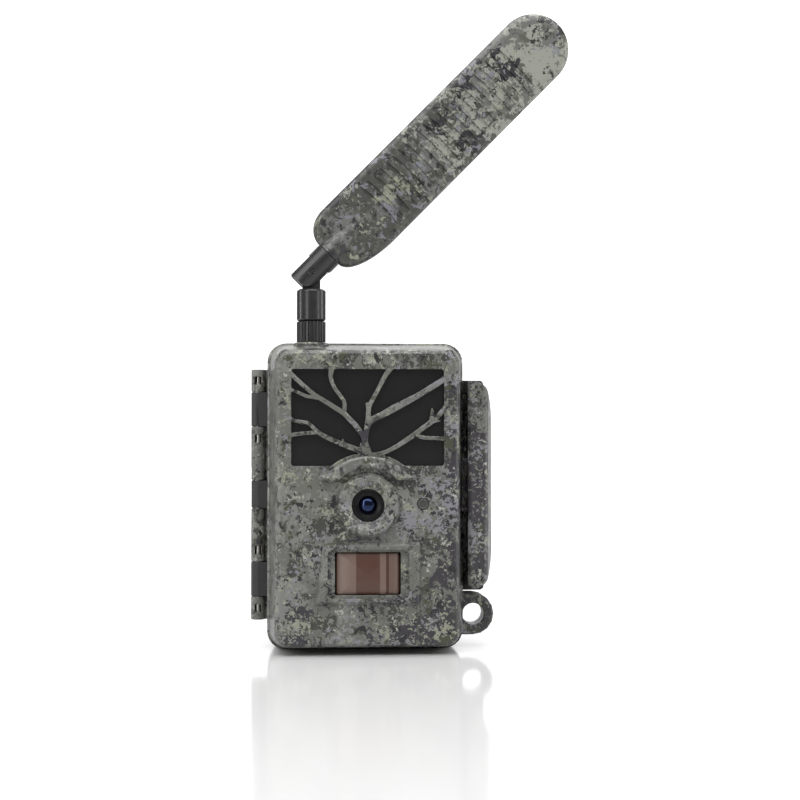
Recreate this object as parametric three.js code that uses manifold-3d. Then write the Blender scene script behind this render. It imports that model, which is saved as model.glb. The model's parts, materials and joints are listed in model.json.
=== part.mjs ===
// A cellular trail camera in camouflage: a two-part moulded case that opens on a side hinge, a long
// side latch, a padlock eye, a branch-shaped grille over the infrared window, and a paddle antenna on
// a swivel and a tilting elbow. Millimetres, +Z up, the camera looks along -Y. The origin is on the
// flat bottom face, under the middle of the case.
import * as THREE from "three";
import { mergeVertices } from "three/addons/utils/BufferGeometryUtils.js";
import Module from "manifold-3d";

const wasm = await Module();
wasm.setup();

// ---- Driving dimensions -------------------------------------------------------------------------

const GAP = 0.3; // air between pieces that touch on the real object
const WALL = 2.4; // moulded wall of both case halves

const CASE = {
  half: 44.25, // half the width at the parting line
  low: 0,
  high: 138,
  corner: 8.5,
  parting: -5, // plane where the halves meet
  band: -11, // front end of the straight band beside the parting line
  front: -35, // front face
  back: 28, // rear face
};
const RIM_LEDGE = { y: -2.3, inset: 5.0 }; // ledge in the rear half that carries the gasket

const WINDOW = { half: 34.7, low: 81.85, high: 126.7, corner: 1.2 };
const BROW = { z: 64.2, inner: 18.1, outer: 23.2, tail: 21, foot: 77, tip: 79, front: -39 };
const BROW_NICHE = { z: 63.1, r: 24.5 }; // where the brow bites into the window
const LENS = { z: 65.9, bore: 7.2, bezel: 6.9, glass: 4.2 };
const PIR = { z: 36.05, half: 14.1, high: 9.05, bulge: 3.0 };
const PIR_FRAME = { left: -19.5, leftFoot: -23, right: 22.9, low: 22.7, high: 49.65, front: -37.4 };
const PIR_RECESS = { left: -17.6, right: 18, low: 25.4, high: 46.6, corner: 2.3, floor: -35.2 };
const STATUS = { x: 24.2, z: 66.4, r: 2.35 };

const HINGE = { x: -48.4, y: CASE.parting, r: 3.25, pin: 1.5, low: 13.1, high: 126.2 };
const HINGE_BLACK = [
  [23.8, 39.1],
  [63.6, 75.9],
  [100.4, 115.8],
];
const HINGE_WINDOWS = [18.35, 44.5, 94.85, 121.2]; // heights at which the steel pin can be seen
const HINGE_WINDOW = { half: 1.42, high: 1.75 };

const LATCH = { x: 52, y: 3, pin: 1.5, low: 28.05, high: 120.8, inner: 47.1, outer: 58.2, wall: 2.2 };
const LATCH_LUGS = [42, 107]; // middle heights of the two lugs that hold the latch pin
const LATCH_LUG = { half: 4, r: 3.2, clear: 56.2 };
const GUARD = { tip: 48.6, front: 10.8, rear: 13, low: 30, high: 119 }; // rib that shields the latch
const CLAW = { low: 64, high: 84, rear: -13.4, front: -16.2 };

const LOCK_EYE = { x: 49, z: 15.3, r: 9.5, hole: 4.9, front: -10.5, rear: 1 };

const ANTENNA = { x: -24.6, y: -13.5, nutLow: 138.4, nutHigh: 147.4, sleeveHigh: 162.1, r: 6.55 };
const KNURLS = 26;
const JACK = { r: 3.1, flange: 4.8, low: 131.4, seat: 133.9, high: 144 };
const TILT = { z: 169.9, pin: 1.2, hole: 1.4, tongue: 4.05, tongueHalf: 2.6, slotHalf: 2.9 };
const TILT_ANGLE = THREE.MathUtils.degToRad(44.6); // how far the paddle leans from upright
const ELBOW = { r: 6.25, low: -7.5, high: 11.0, flat: 5.25, heel: 5 };
const BLADE = { half: 16.3, low: 11.3, tip: 160, thick: 3.6, neck: 6.2, neckEnd: 37.6 };
const GROOVES = { count: 23, pitch: 4.03, first: 42.8, middle: 0.55, half: 12.75, high: 1.9, deep: 0.7 };

const CELL = { r: 7.25, length: 49.2, nub: 2.75, nubHigh: 1.3, pitch: 15.6, y: 9 };
const CELL_ROWS = [19, 76]; // heights where the two rows of cells stand
const TRAY = { half: 33, low: 15.8, high: 131, front: 1, back: 23.4 };

const CHASSIS = { rear: -5.6, front: -8.2, half: 41.4, low: 2.8, high: 135.2, corner: 7.8 };
const POSTS = [
  [-36, 10],
  [36, 10],
  [-36, 131],
  [36, 131],
];
const BOARD = { half: 32, low: 12, high: 122, rear: -11.8, front: -13.4 };
const DISPLAY = { half: 22, low: 84, high: 112 };
const KEYS = { x: 0, z: 64, reach: 9.5, half: 3.3, corner: 1.2, top: -4.9, foot: -10, flange: -8.6 };
const SWITCH = { x: 22, z: 64, halfX: 2, halfZ: 2, travel: 5 };
const CARD = { half: 12, low: 17, high: 49, rear: -8.9, front: -11, bayLow: 6, bayHigh: 27 };

const TRIPOD = { y: 12, r: 5, bore: 3.2, high: 10 };
const DC = { x: -24, y: 12, r: 3.7, bore: 2.8, high: 11 };
const BRACKET = { half: 17, low: 38, high: 100, plate: 2, slot: 4.6, bridge: 2.2, rail: 4.5 };
const STRAP = { low: 54.5, high: 84.5 }; // the 25 mm tree strap runs between these heights
const BRACKET_SCREWS = [
  [-8, 44],
  [8, 44],
  [-8, 94],
  [8, 94],
];

// ---- Finishes -----------------------------------------------------------------------------------

const finish = (color, roughness, metalness = 0) =>
  new THREE.MeshStandardMaterial({ color, roughness, metalness });

const CAMO = 0x6f7466;
const camo = () => finish(CAMO, 0.5);
const blackNylon = () => finish(0x2e2e2f, 0.55);
const steel = () => finish(0xb4b2ac, 0.3, 1);
const brass = () => finish(0xb08d4a, 0.35, 1);
const rubber = () => finish(0x1e1e1e, 0.85);
const board = () => finish(0x1f4a35, 0.5);

// ---- Solids -------------------------------------------------------------------------------------

// The closed solid that a geometry bounds, with its faces turned outwards.
function solid(geometry) {
  const loose = geometry.index ? geometry.toNonIndexed() : geometry.clone();
  loose.deleteAttribute("normal");
  loose.deleteAttribute("uv");
  const merged = mergeVertices(loose, 1e-4);
  const corners = merged.index.array;
  const kept = [];
  for (let i = 0; i < corners.length; i += 3) {
    const [a, b, c] = corners.slice(i, i + 3);
    if (a !== b && b !== c && c !== a) kept.push(a, b, c);
  }
  const vertProperties = merged.attributes.position.array;
  const made = new wasm.Manifold(
    new wasm.Mesh({ numProp: 3, vertProperties, triVerts: new Uint32Array(kept) }),
  );
  if (made.volume() > 0) return made;
  kept.reverse();
  return new wasm.Manifold(
    new wasm.Mesh({ numProp: 3, vertProperties, triVerts: new Uint32Array(kept) }),
  );
}

// A geometry with the surface of a solid.
function surface(body) {
  const mesh = body.getMesh();
  const geometry = new THREE.BufferGeometry();
  geometry.setAttribute("position", new THREE.BufferAttribute(mesh.vertProperties, 3));
  geometry.setIndex(new THREE.BufferAttribute(mesh.triVerts, 1));
  geometry.computeVertexNormals();
  return geometry;
}

const join = (bodies) => bodies.reduce((a, b) => a.add(b));
const cut = (body, tools) => tools.reduce((a, b) => a.subtract(b), body);

// A box between two corners.
function block([x0, x1], [y0, y1], [z0, z1]) {
  const geometry = new THREE.BoxGeometry(x1 - x0, y1 - y0, z1 - z0);
  return solid(geometry.translate((x0 + x1) / 2, (y0 + y1) / 2, (z0 + z1) / 2));
}

// A round bar along Z.
function postZ(r, x, y, [z0, z1], sides = 16) {
  const geometry = new THREE.CylinderGeometry(r, r, z1 - z0, sides);
  return solid(geometry.rotateX(Math.PI / 2).translate(x, y, (z0 + z1) / 2));
}

// A round bar along Y.
function postY(r, x, z, [y0, y1], sides = 16) {
  const geometry = new THREE.CylinderGeometry(r, r, y1 - y0, sides);
  return solid(geometry.translate(x, (y0 + y1) / 2, z));
}

// A profile of [radius, height] points revolved about Z.
function turnedZ(profile, x, y, sides = 16) {
  const points = profile.map(([r, z]) => new THREE.Vector2(r, z));
  return solid(new THREE.LatheGeometry(points, sides).rotateX(Math.PI / 2).translate(x, y, 0));
}

// A profile of [radius, y] points revolved about Y.
function turnedY(profile, x, z, sides = 16) {
  const points = profile.map(([r, y]) => new THREE.Vector2(r, y));
  return solid(new THREE.LatheGeometry(points, sides).translate(x, 0, z));
}

// An outline drawn in X and Z, carried from the rear plane y1 to the front plane y0, with an
// optional bevel round both of its faces.
function slab(outline, [y0, y1], bevel = 0, curveSegments = 4) {
  const geometry = new THREE.ExtrudeGeometry(outline, {
    depth: y1 - y0 - 2 * bevel,
    bevelEnabled: bevel > 0,
    bevelThickness: bevel,
    bevelSize: bevel,
    bevelOffset: -bevel,
    bevelSegments: 1,
    curveSegments,
  });
  return solid(geometry.rotateX(Math.PI / 2).translate(0, y1 - bevel, 0));
}

// An outline drawn in X and Y, carried up from z0 to z1.
function column(outline, [z0, z1], curveSegments = 4) {
  const settings = { depth: z1 - z0, bevelEnabled: false, curveSegments };
  return solid(new THREE.ExtrudeGeometry(outline, settings).translate(0, 0, z0));
}

const polygon = (points) => new THREE.Shape(points.map(([x, y]) => new THREE.Vector2(x, y)));

// A rectangle with round corners, given by its limits.
function roundRectangle([x0, x1], [z0, z1], r) {
  const shape = new THREE.Shape();
  shape.absarc(x1 - r, z1 - r, r, 0, Math.PI / 2);
  shape.absarc(x0 + r, z1 - r, r, Math.PI / 2, Math.PI);
  shape.absarc(x0 + r, z0 + r, r, Math.PI, 1.5 * Math.PI);
  shape.absarc(x1 - r, z0 + r, r, 1.5 * Math.PI, 2 * Math.PI);
  return shape;
}

// The points round a quarter of an ellipse, from angle `start` on.
function quarter(x, z, rx, rz, start, steps) {
  return Array.from({ length: steps + 1 }, (_, i) => {
    const angle = start + (i / steps) * (Math.PI / 2);
    return [x + rx * Math.cos(angle), z + rz * Math.sin(angle)];
  });
}

// A skin through rings of [x, z] points at falling y, closed at both ends.
function loft(rings) {
  const count = rings[0].points.length;
  const positions = [];
  const push = (...corners) => corners.forEach(([x, y, z]) => positions.push(x, y, z));
  const at = (ring, j) => {
    const [x, z] = ring.points[j % count];
    return [x, ring.y, z];
  };
  const middle = (ring) => {
    const sum = ring.points.reduce(([a, b], [x, z]) => [a + x, b + z], [0, 0]);
    return [sum[0] / count, ring.y, sum[1] / count];
  };
  for (let j = 0; j < count; j += 1) {
    for (let i = 0; i + 1 < rings.length; i += 1) {
      push(at(rings[i], j), at(rings[i], j + 1), at(rings[i + 1], j + 1));
      push(at(rings[i], j), at(rings[i + 1], j + 1), at(rings[i + 1], j));
    }
    push(middle(rings[0]), at(rings[0], j + 1), at(rings[0], j));
    push(middle(rings.at(-1)), at(rings.at(-1), j), at(rings.at(-1), j + 1));
  }
  const geometry = new THREE.BufferGeometry();
  geometry.setAttribute("position", new THREE.Float32BufferAttribute(positions, 3));
  return solid(geometry);
}

// One ring of a case half: the case outline, drawn in by `inset`, and lifted by `lift` at the foot.
function caseRing(y, inset, lift = inset) {
  const cornerSteps = 7;
  const r = Math.max(CASE.corner - inset * 0.5, 1.5);
  const right = CASE.half - inset - r;
  const top = CASE.high - inset - r;
  const bottom = CASE.low + lift + r;
  const corner = (x, z, turn) => quarter(x, z, r, r, (turn * Math.PI) / 2, cornerSteps);
  const points = [
    ...corner(right, top, 0),
    ...corner(-right, top, 1),
    ...corner(-right, bottom, 2),
    ...corner(right, bottom, 3),
  ];
  return { y, points };
}

// ---- The scene ----------------------------------------------------------------------------------

const trailCamera = new THREE.Group();
const frontHalf = new THREE.Group();
const rearHalf = new THREE.Group();
const antenna = new THREE.Group();
const paddle = new THREE.Group();
antenna.position.set(ANTENNA.x, ANTENNA.y, 0);
paddle.position.set(0, 0, TILT.z);
paddle.rotation.y = TILT_ANGLE;
antenna.add(paddle);
frontHalf.add(antenna);
trailCamera.add(rearHalf, frontHalf);

function place(group, name, body, material, position = [0, 0, 0]) {
  const mesh = new THREE.Mesh(surface(body), material);
  mesh.name = name;
  mesh.position.set(...position);
  group.add(mesh);
}

// ---- Case halves --------------------------------------------------------------------------------

// The padlock eye's outline: a tongue with a round end.
function eyeOutline() {
  const { x, z, r } = LOCK_EYE;
  const shape = new THREE.Shape();
  shape.moveTo(CASE.half - WALL, z - r);
  shape.lineTo(x, z - r);
  shape.absarc(x, z, r, -Math.PI / 2, Math.PI / 2);
  shape.lineTo(CASE.half - WALL, z + r);
  return shape;
}

function lockEye(span) {
  const hole = postY(LOCK_EYE.hole, LOCK_EYE.x, LOCK_EYE.z, [span[0] - 1, span[1] + 1]);
  return slab(eyeOutline(), span, 1.0).subtract(hole);
}

// The window opening: a rounded rectangle with the brow's arc bitten out of its lower edge.
function windowOpening(inset, span) {
  const { half, low, high, corner } = WINDOW;
  const frame = roundRectangle([-half + inset, half - inset], [low + inset, high - inset], corner);
  const bite = postY(BROW_NICHE.r + inset, 0, BROW_NICHE.z, [span[0] - 1, span[1] + 1], 48);
  return slab(frame, span).subtract(bite);
}

function brow() {
  const { z, inner, outer, tail, foot, tip } = BROW;
  const innerAngle = Math.asin((foot - z) / inner);
  const outerAngle = Math.asin((tip - z) / outer);
  const shape = new THREE.Shape();
  shape.moveTo(-tail, foot);
  shape.lineTo(-inner * Math.cos(innerAngle), foot);
  shape.absarc(0, z, inner, Math.PI - innerAngle, innerAngle, true);
  shape.lineTo(tail, foot);
  shape.lineTo(tail, tip);
  shape.absarc(0, z, outer, outerAngle, Math.PI - outerAngle);
  shape.lineTo(-tail, tip);
  return slab(shape, [BROW.front, CASE.front + 1], 0.9, 10);
}

// The dished ring round the lens, revolved about the lens axis.
function lensBoss() {
  const profile = [
    [LENS.bore, -33],
    [14.4, -33],
    [14.4, -35.3],
    [13.9, -37.1],
    [12.7, -38.4],
    [11.2, -38.7],
    [10.0, -38.0],
    [LENS.bore, -36.4],
    [LENS.bore, -33],
  ];
  return turnedY(profile, 0, LENS.z, 28);
}

// The raised surround of the motion sensor: its left side leans, its other sides are upright.
function sensorSurround() {
  const { left, leftFoot, right, low, high, front } = PIR_FRAME;
  const outline = polygon([
    [leftFoot, low],
    [right, low],
    [right, high],
    [left, high],
  ]);
  return slab(outline, [front, CASE.front + 2], 1.4);
}

// The flat-floored recess in the surround, and the opening in its floor for the lens.
function sensorRecess() {
  const { left, right, low, high, corner, floor } = PIR_RECESS;
  const recess = slab(roundRectangle([left, right], [low, high], corner), [PIR_FRAME.front - 1, floor]);
  const opening = block(
    [-PIR.half - GAP, PIR.half + GAP],
    [floor - 1, CASE.front + WALL + 2],
    [PIR.z - PIR.high - GAP, PIR.z + PIR.high + GAP],
  );
  return recess.add(opening);
}

function frontShell() {
  const rim = CASE.parting - GAP / 2;
  const outside = loft([
    caseRing(rim, 0),
    caseRing(CASE.band, 0),
    caseRing(CASE.band - 0.8, 0.9),
    caseRing(CASE.front + 3.2, 3.6),
    caseRing(CASE.front + 1.1, 4.3),
    caseRing(CASE.front, 5.6),
  ]);
  const inside = loft([
    caseRing(rim + 1, WALL),
    caseRing(CASE.band, WALL),
    caseRing(CASE.front + WALL, 3.6 + WALL),
  ]);
  const antennaSeat = turnedZ(
    [
      [0, 135.4],
      [8.3, 135.4],
      [8.3, 137.3],
      [7.5, CASE.high + 0.1],
      [0, CASE.high + 0.1],
    ],
    ANTENNA.x,
    ANTENNA.y,
  );
  const posts = POSTS.map(([x, z]) => postY(3.2, x, z, [CASE.front + 1, CHASSIS.front - GAP], 16));
  const keeper = block([CASE.half - 1.6, 46.5], [-12.9, -10.4], [CLAW.low - 2, CLAW.high + 2]);
  const added = [antennaSeat, lensBoss(), sensorSurround(), brow(), keeper];
  added.push(lockEye([LOCK_EYE.front, rim]));
  const solidBody = join([outside.subtract(inside), ...posts, ...added]);
  const through = [CASE.front - 6, CASE.front + WALL + 3];
  const tools = [
    windowOpening(0, [CASE.front - 1, CASE.front + WALL + 1]),
    postY(LENS.bore, 0, LENS.z, through),
    sensorRecess(),
    postY(STATUS.r + GAP, STATUS.x, STATUS.z, through, 16),
    postZ(JACK.r + GAP, ANTENNA.x, ANTENNA.y, [JACK.low, CASE.high + 2]),
    ...POSTS.map(([x, z]) => postY(1.5, x, z, [-20, CHASSIS.front], 12)),
    ...HINGE_BLACK.map(([low, high]) =>
      block([-CASE.half - 1, -CASE.half + WALL + 1], [CHASSIS.front - GAP, rim + 1], [low - GAP, high + GAP]),
    ),
  ];
  return cut(solidBody, tools);
}

// A case-side hinge knuckle: a barrel with a web that reaches the case wall.
function knuckle([low, high], webX, [webFront, webRear]) {
  const barrel = postZ(HINGE.r, HINGE.x, HINGE.y, [low, high], 14);
  return barrel.add(block([HINGE.x, webX], [webFront, webRear], [low, high]));
}

// The stretches of the hinge that lie between the black knuckles.
function camoKnuckles() {
  const edges = [HINGE.low, ...HINGE_BLACK.flatMap(([a, b]) => [a - GAP, b + GAP]), HINGE.high];
  const stretches = [];
  for (let i = 0; i < edges.length; i += 2) stretches.push([edges[i], edges[i + 1]]);
  return stretches;
}

function rearShell() {
  const rim = CASE.parting + GAP / 2;
  const outside = loft([
    caseRing(CASE.back, 4.2, 2.4),
    caseRing(CASE.back - 1.2, 2.6, 0.8),
    caseRing(CASE.back - 2.4, 1.8, 0),
    caseRing(4, 0),
    caseRing(rim, 0),
  ]);
  const inside = loft([
    caseRing(CASE.back - WALL, 6.6),
    caseRing(4, RIM_LEDGE.inset),
    caseRing(RIM_LEDGE.y, RIM_LEDGE.inset),
  ]);
  const gasketSeat = loft([caseRing(RIM_LEDGE.y, WALL), caseRing(rim - 1, WALL)]);
  const web = [rim, HINGE.y + HINGE.r];
  const knuckles = camoKnuckles().map((span) => knuckle(span, -CASE.half + 2, web));
  const lugs = LATCH_LUGS.map((z) => {
    const span = [z - LATCH_LUG.half, z + LATCH_LUG.half];
    const arm = block([CASE.half - 2, LATCH.x], [LATCH.y - LATCH_LUG.r, LATCH.y + LATCH_LUG.r], span);
    return arm.add(postZ(LATCH_LUG.r, LATCH.x, LATCH.y, span));
  });
  const tripodBoss = postZ(9, 0, TRIPOD.y, [0, TRIPOD.high + 2.4], 20);
  const jackBoss = postZ(6, DC.x, DC.y, [1, DC.high + 2.2]);
  const bosses = BRACKET_SCREWS.map(([x, z]) => postY(3.4, x, z, [CASE.back - 4.2, CASE.back - 1]));
  const eye = lockEye([rim, LOCK_EYE.rear]);
  const guard = block([CASE.half - 2, GUARD.tip], [GUARD.front, GUARD.rear], [GUARD.low, GUARD.high]);
  const body = join([
    outside.subtract(inside).subtract(gasketSeat),
    ...knuckles,
    ...lugs,
    tripodBoss,
    jackBoss,
    ...bosses,
    eye,
    guard,
  ]);
  const windows = HINGE_WINDOWS.map((z) =>
    block(
      [HINGE.x - HINGE_WINDOW.half, HINGE.x + HINGE_WINDOW.half],
      [HINGE.y - HINGE.r - 1, HINGE.y],
      [z - HINGE_WINDOW.high, z + HINGE_WINDOW.high],
    ),
  );
  const tools = [
    ...windows,
    postZ(HINGE.pin + 0.2, HINGE.x, HINGE.y, [HINGE.low - 1, HINGE.high + 1]),
    postZ(LATCH.pin + 0.2, LATCH.x, LATCH.y, [LATCH.low, LATCH.high]),
    postZ(TRIPOD.r + GAP, 0, TRIPOD.y, [-1, TRIPOD.high + GAP]),
    postZ(DC.r + GAP, DC.x, DC.y, [-1, DC.high + GAP]),
    postZ(5.4, DC.x, DC.y, [-1, 2.4]),
    ...BRACKET_SCREWS.map(([x, z]) => postY(1.5, x, z, [CASE.back - 3.6, CASE.back + 1], 12)),
  ];
  return cut(body, tools);
}

function gasket() {
  const front = CASE.parting + 0.6;
  const rear = RIM_LEDGE.y - GAP;
  const outside = loft([caseRing(rear, WALL + GAP), caseRing(front, WALL + GAP)]);
  return outside.subtract(loft([caseRing(rear + 1, 4.7), caseRing(front - 1, 4.7)]));
}

place(frontHalf, "front_shell", frontShell(), camo());
place(rearHalf, "rear_shell", rearShell(), camo());
place(rearHalf, "case_gasket", gasket(), rubber());
place(
  rearHalf,
  "hinge_pin",
  postZ(HINGE.pin, HINGE.x, HINGE.y, [HINGE.low + 0.6, HINGE.high - 0.6], 16),
  steel(),
);

// ---- Branch grille and infrared window ----------------------------------------------------------

// Every bough is a run of [x, z, width] stations from its root to its tip.
const BOUGHS = [
  // trunk and the long bough to the upper left corner
  [[-1.2, 84, 9], [-1.3, 88, 6.4], [-1.6, 92.8, 3.5], [-2.3, 96.6, 2.4], [-10.4, 106, 2.2], [-23.5, 114.2, 1.9],
    [-33.6, 123.6, 1.5], [-37, 127, 1.5]],
  [[-22, 112.8, 1.7], [-26.9, 113.5, 1.5], [-31, 115.4, 1.4], [-36.5, 117.2, 1.3]],
  [[-10.5, 105.6, 1.9], [-10.2, 110.3, 1.7], [-11.3, 112.8, 1.7], [-14.6, 117.2, 1.7], [-16.4, 122.4, 1.8],
    [-15.2, 128, 3]],
  // bough to the upper right of the middle
  [[-1.6, 92, 2.4], [-0.7, 98, 2.2], [0.1, 104, 2.2], [0.5, 109, 2], [3.6, 115, 1.8], [7.8, 122.7, 1.8],
    [11.4, 128, 3]],
  [[0.1, 106, 1.6], [-0.5, 110.8, 1]],
  [[-0.8, 98.6, 2.2], [1.3, 103, 2.7], [6, 105.2, 2.9], [11.6, 108.4, 3.2], [23.2, 114.6, 2.5], [36.5, 123.4, 1.9]],
  // low bough to the right with its thorns
  [[-1, 87.6, 3], [3, 88, 1.9], [8.5, 89.4, 1.8], [16.4, 94, 2.1], [24.9, 100.2, 2.2], [30.4, 104.4, 2.2],
    [36.8, 112.4, 1.9]],
  [[28.6, 102.6, 3.6], [28.1, 108.4, 0.5]],
  [[28, 102.4, 1.6], [31.8, 102.8, 0.5]],
  [[21, 96.4, 1.8], [25, 95.4, 1.7], [30, 95.2, 1.7], [36.8, 94.8, 1.7]],
  // low bough to the left
  [[-1.4, 88.4, 3.2], [-4.2, 90, 2.5], [-10.6, 92.3, 2.2], [-18.9, 96, 2], [-23, 98.9, 1.7], [-26.4, 102, 1.5],
    [-32, 102.9, 1.4], [-36.8, 105.2, 1.4]],
  [[-10.4, 92, 1.9], [-11.1, 94.8, 0.5]],
  [[-22, 97.6, 1.6], [-27.6, 97.4, 1.5], [-36.8, 95.9, 1.5]],
];
const GRILLE = { front: CASE.front - 0.2, rear: CASE.front + 1.9, bevel: 0, frame: 0.9 };

// A bough's outline: a smooth curve through its stations, drawn out to half its width each side.
function boughOutline(stations) {
  const path = new THREE.SplineCurve(stations.map(([x, z]) => new THREE.Vector2(x, z)));
  const last = stations.length - 1;
  const steps = last * 2;
  const left = [];
  const right = [];
  for (let i = 0; i <= steps; i += 1) {
    const t = i / steps;
    const station = Math.min(Math.floor(t * last), last - 1);
    const width = THREE.MathUtils.lerp(stations[station][2], stations[station + 1][2], t * last - station);
    const point = path.getPoint(t);
    const tangent = path.getTangent(t);
    const across = new THREE.Vector2(-tangent.y, tangent.x).multiplyScalar(width / 2);
    left.push(point.clone().add(across));
    right.unshift(point.clone().sub(across));
  }
  return new THREE.Shape([...left, ...right]);
}

function branchGrille() {
  const { front, rear, bevel, frame } = GRILLE;
  const boughs = join(
    BOUGHS.map((stations) => {
      const thinnest = Math.min(...stations.map(([, , width]) => width));
      const rounding = thinnest > 2.4 * bevel ? bevel : 0;
      return slab(boughOutline(stations), [front, rear], rounding);
    }),
  );
  const span = [front - 1, rear + 1];
  const kept = boughs.intersect(windowOpening(GAP, span));
  const rim = windowOpening(GAP, [CASE.front, rear]).subtract(windowOpening(GAP + frame, span));
  return kept.add(rim);
}

place(frontHalf, "branch_grille", branchGrille(), camo());
place(
  frontHalf,
  "led_window",
  slab(roundRectangle([-36.3, 36.3], [80, 127.3], 2), [-32.3, -30.8]),
  finish(0x151518, 0.15),
);

function ledBoard() {
  const plate = block([-33, 33], [-28.4, -26.8], [83, 125]);
  const emitters = [];
  for (let row = 0; row < 4; row += 1) {
    for (let column = 0; column < 7; column += 1) {
      emitters.push(postY(2.4, (column - 3) * 9, 88 + row * 10.5, [-30.3, -28], 5));
    }
  }
  return join([plate, ...emitters]);
}
place(frontHalf, "led_board", ledBoard(), board());

// ---- Lens, motion sensor and status light -------------------------------------------------------

const bezelProfile = [
  [LENS.glass + 0.25, -33.4],
  [LENS.bezel, -33.4],
  [LENS.bezel, -36.0],
  [LENS.bezel - 0.5, -36.5],
  [LENS.glass + 0.4, -35.2],
  [LENS.glass + 0.25, -33.4],
];
place(frontHalf, "lens_bezel", turnedY(bezelProfile, 0, LENS.z, 32), finish(0x101012, 0.3));

const glassProfile = [
  [0, -33.4],
  [LENS.glass, -33.4],
  [LENS.glass, -34.2],
  [LENS.glass * 0.7, -34.7],
  [0, -34.95],
];
place(frontHalf, "lens_glass", turnedY(glassProfile, 0, LENS.z, 32), finish(0x10131c, 0.05));
place(frontHalf, "lens_barrel", postY(6.6, 0, LENS.z, [-33.1, -26]), blackNylon());
place(frontHalf, "camera_module", block([-9, 9], [-25.7, -16.5], [57, 75]), blackNylon());

// The motion sensor's lens: a sheet bowed about a vertical axis.
function sensorLens() {
  const { half, bulge, z, high } = PIR;
  const radius = (half * half + bulge * bulge) / (2 * bulge);
  const foot = CASE.front + 1.3;
  const angle = Math.asin(half / radius);
  const shape = new THREE.Shape();
  shape.moveTo(-half, foot + 1.6);
  shape.lineTo(-half, foot);
  shape.absarc(0, foot - bulge + radius, radius, 1.5 * Math.PI - angle, 1.5 * Math.PI + angle);
  shape.lineTo(half, foot + 1.6);
  return column(shape, [z - high, z + high], 12);
}
place(frontHalf, "pir_lens", sensorLens(), finish(0x5e4335, 0.35));
place(frontHalf, "pir_sensor", postY(4.6, 0, PIR.z, [-30.4, -24]), steel());

const statusProfile = [
  [0, -31],
  [STATUS.r, -31],
  [STATUS.r, CASE.front - 0.3],
  [1.6, CASE.front - 0.5],
  [1.45, CASE.front + 0.3],
  [0, CASE.front + 0.1],
];
place(frontHalf, "status_light", turnedY(statusProfile, STATUS.x, STATUS.z, 20), finish(0x5a5c5a, 0.3));

// ---- Chassis of the front half ------------------------------------------------------------------

const keyPlaces = {
  key_ok: [0, 0],
  key_up: [0, 1],
  key_down: [0, -1],
  key_left: [-1, 0],
  key_right: [1, 0],
};
const keyCentre = ([column, row]) => [KEYS.x + column * KEYS.reach, KEYS.z + row * KEYS.reach];

function keyOutline(centre, grow = 0) {
  const [x, z] = centre;
  const half = KEYS.half + grow;
  return roundRectangle([x - half, x + half], [z - half, z + half], KEYS.corner + grow);
}

function chassis() {
  const { rear, front, half, low, high, corner } = CHASSIS;
  const plate = slab(roundRectangle([-half, half], [low, high], corner), [front, rear]);
  const knuckles = HINGE_BLACK.map((span) => knuckle(span, -half + 3, [front, rear]));
  const through = [front - 1, rear + 1];
  const tools = [
    postZ(HINGE.pin + 0.2, HINGE.x, HINGE.y, [HINGE.low, HINGE.high]),
    block([-DISPLAY.half, DISPLAY.half], through, [DISPLAY.low, DISPLAY.high]),
    ...Object.values(keyPlaces).map((spot) => slab(keyOutline(keyCentre(spot), 0.35), through)),
    block(
      [SWITCH.x - SWITCH.halfX - 0.4, SWITCH.x + SWITCH.halfX + SWITCH.travel + 0.4],
      through,
      [SWITCH.z - SWITCH.halfZ - 0.4, SWITCH.z + SWITCH.halfZ + 0.4],
    ),
    block([-CARD.half - 2, CARD.half + 2], through, [CARD.bayLow, CARD.bayHigh]),
    ...POSTS.map(([x, z]) => postY(1.6, x, z, through, 12)),
    ...POSTS.map(([x, z]) => postY(3.3, x, z, [rear - 1.2, rear + 1], 16)),
  ];
  return cut(join([plate, ...knuckles]), tools);
}
place(frontHalf, "chassis", chassis(), blackNylon());

const screwProfile = [
  [0, -16],
  [1.2, -16],
  [1.2, -6.6],
  [2.9, -6.6],
  [2.9, -5.9],
  [0, -5.7],
];
POSTS.forEach(([x, z], i) => {
  place(frontHalf, `chassis_screw_${i + 1}`, turnedY(screwProfile, 0, 0, 10), steel(), [x, 0, z]);
});

place(
  frontHalf,
  "display",
  block([-DISPLAY.half + 0.3, DISPLAY.half - 0.3], [-9.4, -6.1], [DISPLAY.low + 0.3, DISPLAY.high - 0.3]),
  finish(0x1a2028, 0.1),
);
place(
  frontHalf,
  "main_board",
  block([-BOARD.half, BOARD.half], [BOARD.front, BOARD.rear], [BOARD.low, BOARD.high]),
  board(),
);

// A key: a cap with a flange behind the chassis that keeps it in.
function key() {
  const cap = slab(keyOutline([0, 0]), [KEYS.foot, KEYS.top], 0);
  return cap.add(slab(keyOutline([0, 0], 0.9), [KEYS.foot, KEYS.flange]));
}
Object.entries(keyPlaces).forEach(([name, spot]) => {
  const [x, z] = keyCentre(spot);
  place(frontHalf, name, key(), rubber(), [x, 0, z]);
});

function powerSwitch() {
  const { x, z, halfX, halfZ } = SWITCH;
  const stem = block([x - halfX, x + halfX], [-10.6, -5.1], [z - halfZ, z + halfZ]);
  return stem.add(block([x - 3, x + 3], [-10.6, -8.7], [z - 3, z + 3]));
}
place(frontHalf, "power_switch", powerSwitch(), blackNylon());

// A memory card with its clipped corner.
function memoryCard() {
  const clip = 4;
  const outline = polygon([
    [-CARD.half, CARD.low],
    [CARD.half, CARD.low],
    [CARD.half, CARD.high - clip],
    [CARD.half - clip, CARD.high],
    [-CARD.half, CARD.high],
  ]);
  return slab(outline, [CARD.front, CARD.rear]);
}
place(frontHalf, "sd_card", memoryCard(), finish(0x23262b, 0.4));

// ---- Rear half: cells, tray, sockets and tree bracket -------------------------------------------

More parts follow.
